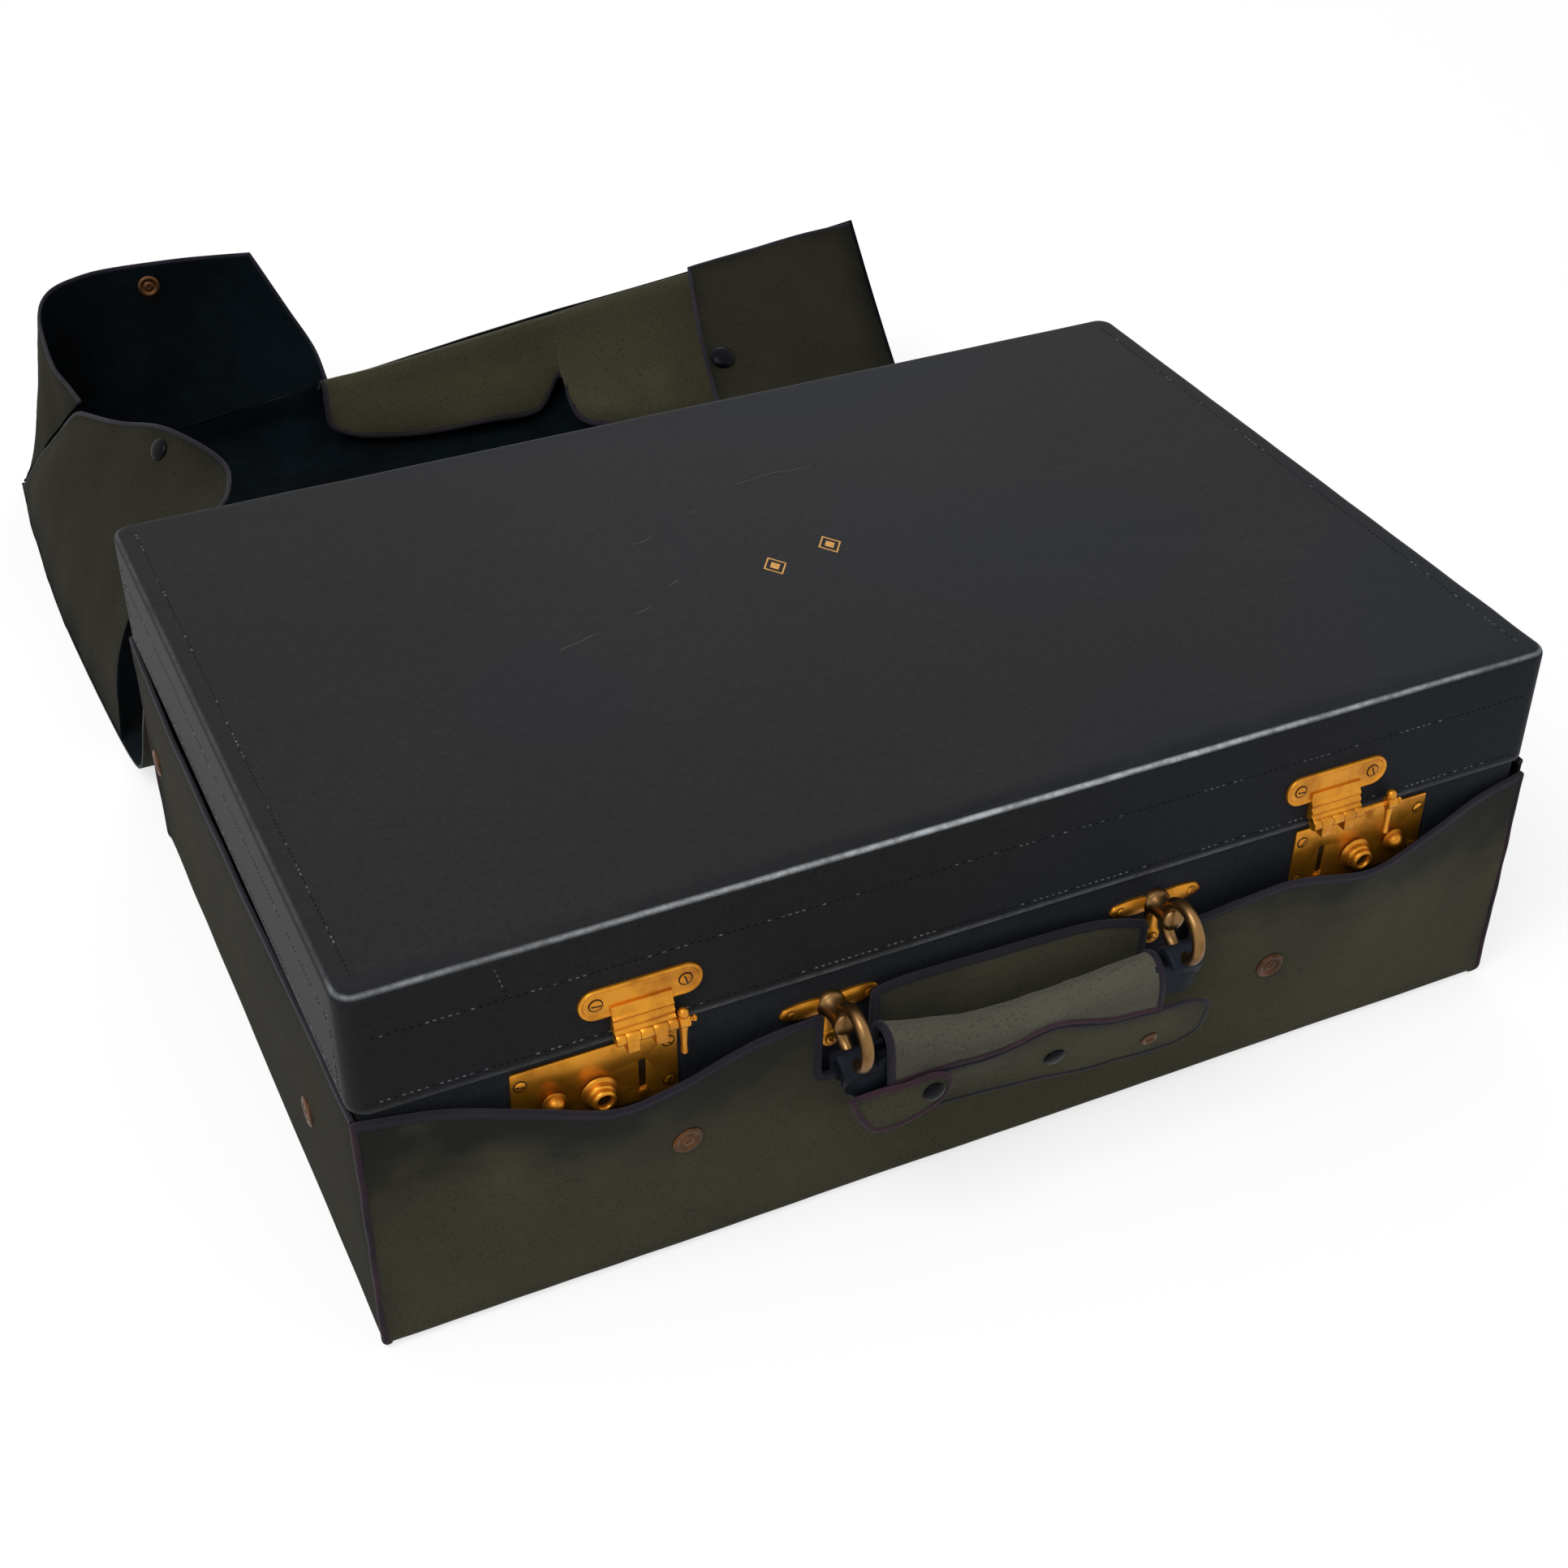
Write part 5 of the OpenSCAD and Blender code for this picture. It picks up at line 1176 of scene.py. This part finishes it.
def grip_loops():
    """Leather ends folded round the rings, creased where they bend."""
    for side, out in (("left", -1), ("right", 1)):
        shape = Shape()
        x = ring_x[side]
        mid_z = ring_z - ring_r - 3
        for turn_r, thick, half in ((5.7, 2.6, LOOP_HALF), (5.4, 1.4, LOOP_HALF - 1.4)):
            edge = [(-half, -thick / 2), (-half, thick / 2), (-half + 1, thick * 0.7), (0, thick * 0.62),
                    (half - 1, thick * 0.7), (half, thick / 2), (half, -thick / 2), (0, -thick * 0.5)]
            rings = []
            for a in np.linspace(math.radians(-40), math.radians(220), 30):
                wave = 1 + 0.05 * math.sin(5 * a)
                rings.append([(x + u, ring_y + (turn_r + w) * wave * math.cos(a),
                               mid_z + (turn_r + w) * wave * math.sin(a)) for u, w in edge])
            shape.loft(rings)
        # The two ends meet under the ring and run into the sleeve
        for k in (-1, 1):
            path = [(x + out * 5, ring_y + k * 4.6, mid_z - 4), (x, ring_y + k * 5.2, mid_z - 6),
                    (x - out * 6, ring_y + k * 5.4, mid_z - 5.5),
                    (x - out * 16, ring_y + k * 5.2, grip_mid_z + 1)]
            s = np.linspace(0, 1, 16)
            rings = []
            for q, share in zip(curve(path, s), s):
                rings.append(np.insert(q[1:] + rounded(3, 13 + 3.2 * share, 1.2, 4), 0, q[0], axis=1))
            shape.loft(rings)
        lump = np.array(shape.verts)
        lump += unit(lump - [x, ring_y, mid_z]) * (ripple(lump, 81, 7) * 0.28)[:, None]
        shape.verts = lump.tolist()
        shape.build(f"{side}_loop", "handle", "grip_leather", "grip_leather", [f"{side}_grip_loop"])


sleeve_a = grip_y / 2 + sleeve_off
sleeve_b = GRIP_Z / 2 + sleeve_off


def grip_middle(s):
    return curve(GRIP_PATH, np.array([min(max(s, 0), 1)]))[0]


def sleeve_row(s, low, rise):
    """One section of the sleeve, over the grip. Its front ends low under the grip's middle."""
    p = grip_middle(s)
    a, b = sleeve_a, sleeve_b
    front = b * 0.72 + rise
    fall = front + low
    x = grip_x0 + SLEEVE_MARGIN + (grip_len - 2 * SLEEVE_MARGIN) * s
    section = [(a, -b * 0.9), (a * 1.02, 0), (a * 0.75, front), (0, b * 1.02 + rise), (-a * 0.75, front),
               (-a * 1.05, front - fall * 0.36), (-a * 1.05, front - fall * 0.7), (-a * 1.05, -low)]
    return [(x, p[1] + y, p[2] + z) for y, z in section]


SLEEVE_LOWS = [5, 3, 3, -1, 8, 13]
SLEEVE_RISES = [9, 4, 0.5, 0, 0, 0]
SLEEVE_NET = [sleeve_row(i / 5, low, rise) for i, (low, rise) in enumerate(zip(SLEEVE_LOWS, SLEEVE_RISES))]
BAND_ROWS = [(-0.02, 4.5, 25), (0.2, 4.5, 25), (0.4, 2, 25), (0.6, -1, 25), (0.8, -5, 25), (1.17, -12, 21)]
BAND_EDGE_GAP = 1.8
BAND_BACK = [0, 2.4, 5.2, 7.2, 8.2]
band_low = grip_mid_z - GRIP_Z / 2 - 5


def band_net():
    net = []
    front_y = ring_y - sleeve_a * 1.05
    for (share, rise, deep), low in zip(BAND_ROWS, SLEEVE_LOWS):
        x, z = grip_x0 + grip_len * share, band_low + rise
        top = grip_middle(share)[2] - low - BAND_EDGE_GAP
        half_way = z - deep * 0.4
        heights = [top, (top + half_way) / 2, half_way, z - deep * 0.7, z - deep]
        net.append([(x, front_y + back, height) for back, height in zip(BAND_BACK, heights)])
    return net


tab_y = ring_y - grip_y / 2 - sleeve_off - SLEEVE_T - 2.9
tab_at = np.array([ring_x["left"], tab_y, grip_mid_z - GRIP_Z / 2])
TAB_NET = [[tab_at + p for p in row] for row in [
    [(-6, 2.2, 3.2), (-1, 3.2, -9), (6, 4.2, -21)],
    [(7, 2, 4), (12, 2, -8), (19, 2, -19)],
    [(21, 0, 5), (26, 0, -5), (31, 1, -14)],
    [(35, -1, 8), (39, -1, 1), (41, 0, -5)]]]
SLEEVE_PAINTS = ["canvas_pale", "cover_lining", "piping", "red_piping"]
BAND_PAINTS = ["canvas", "cover_lining", "piping", "red_piping"]
BAND_DIRT_AND_SHADE = [("t", 5, 0.6), ("b", 5, 0.5), ("r", 5, 0.5), ("l", 5, 0.5)]


def sleeve():
    cloth = Cloth(SLEEVE_NET, 56, 40, SLEEVE_T, 0.35, 91, 26)
    bound = [(cloth.rim("t"), 3, NARROW_BINDING, 0.75)]
    bound += [(cloth.rim(side), 2, NARROW_BINDING, 0.8) for side in "lr"]
    sheet_piece(cloth, "sleeve", "handle", SLEEVE_PAINTS, "handle_sleeve", "folded", "handle_grip",
                back_out=True, bound=bound)


def band():
    cloth = Cloth(band_net(), 60, 26, SLEEVE_T, 0.3, 92, 30, (168, 34), (0, 9, 12, 0), dirt_and_shade=BAND_DIRT_AND_SHADE)
    return sheet_piece(cloth, "sleeve_lower_band", "handle", BAND_PAINTS, "sleeve_band", "hung", "sleeve",
                       back_out=True, bound=[(cloth.rim("brt"), 2, NARROW_BINDING, 0.6)])


def tab():
    cloth = Cloth(TAB_NET, 34, 22, SLEEVE_T, 0.25, 93, 20, (46, 24), (0, 9, 9, 4), dirt_and_shade=BAND_DIRT_AND_SHADE)
    return sheet_piece(cloth, "sleeve_end_tab", "handle", BAND_PAINTS, "sleeve_tab", "folded", "sleeve",
                       back_out=True, bound=[(cloth.rim("brtl"), 3, NARROW_BINDING, 0.7)])


handle_rings()
grip_loops()
sleeve()
band_cloth = band()
tab_cloth = tab()
sleeve_studs = [(band_cloth, 0.62, 0.5, -1, SMALL_CAP), (band_cloth, 0.897, 0.58, -1, EYELET, 1),
                (tab_cloth, 0.8, 0.5, -1, SMALL_CAP)]
stud_piece(sleeve_studs, "sleeve_studs", "handle", STUD_PAINTS, "copper_snaps", ["sleeve_snaps"])


# Brass hardware

BRASS = ["gilt_brass", "brass_painted_shade", "dull_brass"]
SCREW_DOME = [(0, 2.4), (0.35, 2.4), (0.6, 2.0), (0.75, 1.2), (0.8, 0)]
plate_low, plate_high = box_mm("left_lock_plate")
plate_l, plate_h = plate_high[0] - plate_low[0], plate_high[2] - plate_low[2]
plate_z = (plate_high[2] + plate_low[2]) / 2
PLATE_T = 1.2
plate_face_y = base_face_y - PLATE_T
SCREW_X = 31.5
SCREW_Z = 10.5
KNOB_DX, KNOB_DZ = 1, -5
BUTTON_DX, BUTTON_DZ = -18.5, -2
KEY_DX = 20
BOLT_TRAVEL = 5
BOLT_R = 2.05
SCREW_R = 2.4
# Profile of a screw's countersink, painted dark as painted shade
SCREW_SINK = [(0, 2.9), (0.12, 2.9), (0.16, 2.5), (0.05, 2.4)]


def both_sides(make, name, body, node):
    """Makes the left and the right piece, and the screws of both as one piece."""
    screws = Shape()
    for side in ("left", "right"):
        make(side, screws)
    screws.build(name, body, BRASS[:2], "gilt_brass", [node], sharp=50)


def slotted_screw(shape, x, z, face_y, turn, r=SCREW_R):
    """Domed screw head in a countersink, with the countersink and slot painted dark as painted shade."""
    s = r / SCREW_R
    for profile, paint in ((SCREW_SINK, 1), (SCREW_DOME, 0)):
        shape.lathe((x, face_y, z), FRONT, [(h, q * s) for h, q in profile], paint, 24)
    way = np.array([math.cos(turn), 0, math.sin(turn)]) * 1.9 * s
    across = np.array([-math.sin(turn), 0, math.cos(turn)]) * 0.3 * s
    corners = np.array([way + across, across - way, -way - across, way - across])
    # The slot is a dark bar: painted shade
    shape.loft([np.array([x, face_y - y, z]) + corners for y in (0.3, 0.83)], 1)


def dome(height, radius, base=0, start=0):
    """Profile of a dome: heights over base and radii, from an angle up to its top."""
    turns = [math.radians(a) for a in range(start, 91, 15)]
    return [(base + height * math.sin(a), radius * math.cos(a)) for a in turns]


KNOB = [(-4, 1.8), (0, 1.8), (0, 7.6), (0.4, 8), (0.8, 7.9), (1.2, 7.2), (1.5, 6.3), (3.6, 6.1), (4, 5.8),
        (4.2, 5.3), (5.8, 5.3), (6.3, 5.1), (6.8, 4.7), (7, 4.1), (6.9, 3.6), (6.5, 3.2), (4.2, 3.1)]
KNOB_HOLLOW = [(4.1, 3.2), (4.25, 3.2), (4.3, 1), (5.2, 0.9), (5.3, 0)]
BUTTON = [(-3.8, 2.4), (-0.2, 2.4), (-0.1, 4.9), (0.2, 5.2), (0.6, 5.1), (0.8, 4.4), *dome(4.1, 3.9, 0.9)]
KEYHOLE = [(0, -10), (1.5, -10), (1.5, 5), (-1.5, 5), (-1.5, -10), (0, -10)]
KEY_STUD = [(-0.2, 2.1), (0.5, 2.1), (0.9, 1.5), (1.0, 0)]


def lock(side, screws):
    """Lock plate with keyhole, stepped bolt knob and release button. The right one is mirrored."""
    sx = 1 if side == "left" else -1
    mid_x = middle_mm(f"{side}_lock_plate")[0]
    key = fillet(KEYHOLE, 1.2)[1:] + [KEY_DX, 0]
    track = rounded(2 * BOLT_R + BOLT_TRAVEL, 2 * BOLT_R, 2, 4) + [KNOB_DX + BOLT_TRAVEL / 2, KNOB_DZ]
    button_hole = rounded(5.3, 5.3, 2.64, 6) + [BUTTON_DX, BUTTON_DZ]
    verts, faces = cut_plate([rounded(plate_l, plate_h, 1.2, 4), key, track, button_hole], PLATE_T, 0.4)
    shape = Shape()
    x, z, depth = verts.T
    shape.add(np.column_stack([mid_x + sx * x, base_face_y - depth, plate_z + z]), faces)
    key_x = mid_x + sx * KEY_DX
    # A dark block behind the keyhole, painted shade for the hole's inside, and the stud under it
    low, high = (key_x - 4, base_face_y - 0.15, plate_z - 12), (key_x + 4, base_face_y + 0.2, plate_z + 7)
    shape.block(low, high, 0.05, 1)
    shape.lathe((key_x, plate_face_y, plate_z - 12.4), FRONT, KEY_STUD, 0, 20)
    shape.build(f"{side}_lock_face", "base", BRASS[:2], "gilt_brass", [f"{side}_lock_plate"], sharp=30)

    knob = Shape()
    knob_at = (mid_x + sx * KNOB_DX, plate_face_y - 0.4, plate_z + KNOB_DZ)
    knob.lathe(knob_at, FRONT, KNOB, 0, 40)
    # The knob's hollow is painted dark: painted shade
    knob.lathe(knob_at, FRONT, KNOB_HOLLOW, 1, 24)
    knob.build(f"{side}_knob", f"{side}_bolt", BRASS[:2], "gilt_brass", [f"{side}_bolt_knob"], sharp=50)

    button = Shape()
    button.lathe((mid_x + sx * BUTTON_DX, plate_face_y - 1.85, plate_z + BUTTON_DZ), FRONT, BUTTON, 0, 32)
    button.build(f"{side}_button_cap", f"{side}_button", "gilt_brass", "gilt_brass",
                 [f"{side}_release_button"], sharp=50)
    for k, (dx, dz) in enumerate([(a, b) for a in (-SCREW_X, SCREW_X) for b in (-SCREW_Z, SCREW_Z)]):
        slotted_screw(screws, mid_x + dx, plate_z + dz, plate_face_y, 0.6 + 1.3 * k + sx)


both_sides(lock, "lock_plate_screws", "base", "lock_screws")

hasp_low, hasp_high = box_mm("left_hasp")
HASP_H = 15
hasp_l = hasp_high[0] - hasp_low[0]
hasp_z = hasp_high[2] - HASP_H / 2
BARREL_R = 2.8
BARREL_HALF = 13
barrel_y = lid_face_y - BARREL_R - 1.8
barrel_z = seam_z + BARREL_R + 1
HASP_SCREW_X = 19
LUG_X = 6
# Insets and heights of the hasp plate's rim, and the neck's face: out from the lid, up from the barrel
HASP_RIM = [(0, 0), (0, 0.9), (0.2, 1.4), (0.7, 1.75), (1.3, 1.7), (1.8, 1.3), (2.1, 0.95)]
NECK = np.array([
    (0, 15), (1.9, 15), (2.1, 14.4), (2.1, 10.8), (2.5, 10.2), (3.2, 9.6), (3.3, 8.9), (2.8, 8.2), (2.7, 7.2),
    (3.1, 6.7), (4.0, 6.0), (4.1, 5.3), (3.5, 4.6), (3.5, 3.9), (4.2, 3.4), (5.0, 2.6), (5.0, 1.2), (0, 1.2)])
BARREL_PIECES = [(-BARREL_HALF, -9.2), (-9, -2.9), (-2.7, 2.7), (2.9, 9), (9.2, BARREL_HALF)]
def hasp(side, screws):
    """Hasp with a rimmed plate, a ridged neck, a barrel in five pieces and two hooks."""
    x0 = middle_mm(f"{side}_hasp")[0]
    shape = Shape()
    rings = []
    for inset, h in HASP_RIM:
        o = rounded(hasp_l - 2 * inset, HASP_H - 2 * inset, HASP_H / 2 - inset - 0.01, 10)
        rings.append(np.insert(o + (x0, hasp_z), 1, lid_face_y - h, axis=1))
    shape.loft(rings)
    rings = []
    half = BARREL_HALF
    for dx, inset in [(-half, 0.25), (-half + 0.3, 0), (half - 0.3, 0), (half, 0.25)]:
        s = NECK + unit(NECK.mean(0) - NECK) * inset
        rings.append(np.column_stack([np.full(len(s), x0 + dx), lid_face_y - s[:, 0], barrel_z + s[:, 1]]))
    shape.loft(rings)
    for a, b in BARREL_PIECES:
        r, end = BARREL_R, b - a
        profile = [(0, 1.4), (0, r - 0.2), (0.25, r), (end - 0.25, r), (end, r - 0.2), (end, 1.4)]
        shape.lathe((x0 + a, barrel_y, barrel_z), X, profile, 0, 28)
    low, back = plate_high[2] + 0.5, base_face_y + 3.8
    for x in (x0 - LUG_X, x0 + LUG_X):
        shape.block((x - 2.8, barrel_y - 2.9, low), (x + 2.8, lid_face_y - 0.8, barrel_z - 0.5), 0.9)
        shape.block((x - 2, barrel_y, low), (x + 2, back, seam_z), 0.3)
        shape.block((x - 2, back - 0.8, plate_z + 6.5), (x + 2, back, low + 1), 0.2)
        shape.block((x - 2, base_face_y + 0.5, plate_z + 6.5), (x + 2, back, plate_z + 7.8), 0.2)
    shape.build(f"{side}_hasp_plate", "lid", BRASS[:2], "gilt_brass", [f"{side}_hasp"], sharp=40)
    for k in (-1, 1):
        slotted_screw(screws, x0 + k * HASP_SCREW_X, hasp_z, lid_face_y - 0.95, 0.9 + k, 2.6)


both_sides(hasp, "hasp_plate_screws", "lid", "hasp_screws")

PIN_LENGTH = 24
PIN = [(0, 0.9), (0.3, 1.3), (PIN_LENGTH + 0.5, 1.3)]
PIN_HUB = [(0, 2.4), (0.4, 3), (4.6, 3), (5, 2.4), (5.2, 1.2), (6.2, 1.1), (6.5, 1.5), (7.2, 1.7),
           (8.0, 1.3), (8.4, 0)]
PIN_ROD = [(0, 2.1), (-3, 2.0), (-6, 1.6), (-12, 1.3), (-15.5, 1.5), (-16.6, 1.4), (-17.2, 0.5)]
# How far each pin is drawn out in the photograph. The right one is out by its whole travel.
PIN_DRAWN = {"left": 0, "right": 13}


def cross_pin(side, drawn):
    """Pin in the barrel, drawn out by a length, with a hub, a nub, a hanging tapered rod and a ball."""
    hub = middle_mm(f"{side}_hasp")[0] + BARREL_HALF + 0.4 + drawn
    y = barrel_y - 0.4
    shape = Shape()
    shape.lathe((hub - PIN_LENGTH, barrel_y, barrel_z), X, PIN, 0, 16)
    shape.lathe((hub, y, barrel_z), X, PIN_HUB, 0, 24)
    for profile in (PIN_ROD, [(2, 1.4), *dome(2.4, 2.4, 4.2, -60)]):
        shape.lathe((hub + 2.5, y, barrel_z), Z, profile, 0, 20)
    shape.build(f"{side}_pin_hanger", f"{side}_pin", "gilt_brass", "gilt_brass", [f"{side}_cross_pin"],
                sharp=50)


for side, drawn in PIN_DRAWN.items():
    cross_pin(side, drawn)

BRACKET_T = 1.5
bracket_z = bracket_high[2] - 6.5
ARM_HALF = 4
ARM_END = 19
FOOT_DROP = 19.5
BOSS_R = 5.5


def bracket(side, screws):
    """Handle bracket: two leaf-shaped arms, a stem with a round foot, and a boss that holds the ring."""
    x0 = bracket_x[side]
    face = base_face_y
    shape = Shape()

    def section(half, thick):
        return [(0, -half), (thick * 0.55, -half), (thick * 0.9, -half * 0.7), (thick, 0),
                (thick * 0.9, half * 0.7), (thick * 0.55, half), (0, half)]

    for k in (-1, 1):
        rings = []
        for s in np.linspace(0, 1, 14):
            taper = math.sqrt(max(1 - max(s - 0.86, 0) ** 2 / 0.02, 0.02))
            half = ARM_HALF * (0.78 + 0.3 * math.sin(math.pi * min(s * 1.1, 1))) * taper
            thick = BRACKET_T + 1.3 * (1 - s) ** 1.5 + 0.35 * math.sin(math.pi * s)
            q = x0 + k * (ARM_END + ARM_HALF) * s
            rings.append([(q, face - d, bracket_z + h) for d, h in section(half, thick)])
        shape.loft(rings)
    rings = []
    for s in np.linspace(0, 1, 10):
        half = ARM_HALF * (1 - 0.25 * math.sin(math.pi * s))
        thick = BRACKET_T + 1.2 * (1 - s) ** 1.5
        rings.append([(x0 + w, face - d, bracket_z - FOOT_DROP * s) for d, w in section(half, thick)])
    shape.loft(rings)
    foot = [(0, 4.5), (1.2, 4.5), (1.9, 4.0), (2.2, 3.0), (2.3, 0)]
    shape.lathe((x0, face, bracket_z - FOOT_DROP), FRONT, foot, 0, 28)
    tip = face - (ring_y + ring_r - ring_wire - 2.3)
    boss = [(0, 6.5), (2.6, 6.5), (3.5, 5.8), (4.5, 4.9), (tip - 3, 4.9), (tip - 2, BOSS_R)]
    boss += dome(2.6, BOSS_R, tip)
    shape.lathe((x0, face, bracket_z), FRONT, boss, 2, 32)
    shape.build(f"{side}_bracket", "base", BRASS, "gilt_brass", [f"{side}_handle_bracket"], sharp=50)
    for k, (dx, dz) in enumerate([(-18, 0), (18, 0), (0, -FOOT_DROP)]):
        slotted_screw(screws, x0 + dx, bracket_z + dz, face - (2.35 if dz else BRACKET_T + 0.2), 0.4 + k, 2.0)


both_sides(bracket, "handle_bracket_screws", "base", "bracket_screws")


# Camera, worked out from the corners of the case in the photograph

CAMERA_AT = (-403.907, -836.046, 759.436)
CAMERA_RIGHT = (0.90517, -0.42504, 0.00256)
CAMERA_DOWN = (-0.25012, -0.5375, -0.80531)
CAMERA_FORWARD = (0.34366, 0.72831, -0.59284)
PHOTO_PIXELS = 1932
FOCAL_PIXELS = 2880.49
SENSOR = 36

camera_data = bpy.data.cameras.new("camera")
camera_data.sensor_width = SENSOR
camera_data.lens = FOCAL_PIXELS / PHOTO_PIXELS * SENSOR
camera = linked("camera", camera_data)
turn = Matrix([CAMERA_RIGHT, [-c for c in CAMERA_DOWN], [-c for c in CAMERA_FORWARD]]).transposed()
camera.matrix_world = Matrix.Translation(Vector(CAMERA_AT) * MM) @ turn.to_4x4()
camera_data.clip_start, camera_data.clip_end = 0.05, 50
bpy.context.scene.camera = camera
bpy.context.scene.view_settings.view_transform = "Standard"


# Stage: a white floor, white surroundings for the camera and for gloss, and soft lamps


def seen_directly(tree):
    """1 for camera, glossy and transmission rays, else 0."""
    path = tree.nodes.new("ShaderNodeLightPath")
    total = path.outputs["Is Camera Ray"]
    for name in ("Is Glossy Ray", "Is Transmission Ray"):
        both = tree.nodes.new("ShaderNodeMath")
        both.operation = "MAXIMUM"
        tree.links.new(total, both.inputs[0])
        tree.links.new(path.outputs[name], both.inputs[1])
        total = both.outputs[0]
    return total


WORLD_GREY = 0.45
FLOOR_GREY = 0.42
FLOOR_GLOW = 0.72
FLOOR_HALF = 6
# Place, aim, width and watts of each lamp, in metres
LAMPS = {
    "key": ((-1.3, -0.7, 2.3), (0, 0.1, 0.1), 1.6, 28),
    "back": ((0.9, 2.0, 1.6), (0, 0.1, 0.15), 1.2, 5),
}

world = bpy.data.worlds.new("world")
bpy.context.scene.world = world
world.use_nodes = True
tree = world.node_tree
background = tree.nodes["Background"]
background.inputs["Color"].default_value = (WORLD_GREY, WORLD_GREY, WORLD_GREY, 1)
white = tree.nodes.new("ShaderNodeBackground")
white.inputs["Color"].default_value = (1, 1, 1, 1)
white.inputs["Strength"].default_value = 1
mix = tree.nodes.new("ShaderNodeMixShader")
for k, output in enumerate((seen_directly(tree), background.outputs[0], white.outputs[0])):
    tree.links.new(output, mix.inputs[k])
tree.links.new(mix.outputs[0], tree.nodes["World Output"].inputs[0])


def floor():
    """Floor that shows white, less the object's shadow."""
    mesh = bpy.data.meshes.new("floor")
    h = FLOOR_HALF
    mesh.from_pydata([(-h, -h, 0), (h, -h, 0), (h, h, 0), (-h, h, 0)], [], [(0, 1, 2, 3)])
    obj = linked("floor", mesh)
    p = Paint("floor_white")
    p.set(Base_Color=(FLOOR_GREY, FLOOR_GREY, FLOOR_GREY, 1), Roughness=1.0, Specular_IOR_Level=0)
    glow = p.add("ShaderNodeEmission", {"Strength": p.maths("MULTIPLY", seen_directly(p.tree), FLOOR_GLOW)})
    total = p.add("ShaderNodeAddShader", {0: p.shader.outputs[0], 1: glow.outputs[0]})
    p.tree.links.new(total.outputs[0], p.tree.nodes["Material Output"].inputs[0])
    mesh.materials.append(p.mat)


def lamp(name, at, to, size, watts):
    data = bpy.data.lights.new(name, "AREA")
    data.shape = "DISK"
    data.size = size
    data.energy = watts
    obj = linked(name, data)
    obj.location = at
    obj.rotation_mode = "QUATERNION"
    obj.rotation_quaternion = (Vector(to) - Vector(at)).to_track_quat("-Z", "Y")


floor()
for name, values in LAMPS.items():
    lamp(name, *values)
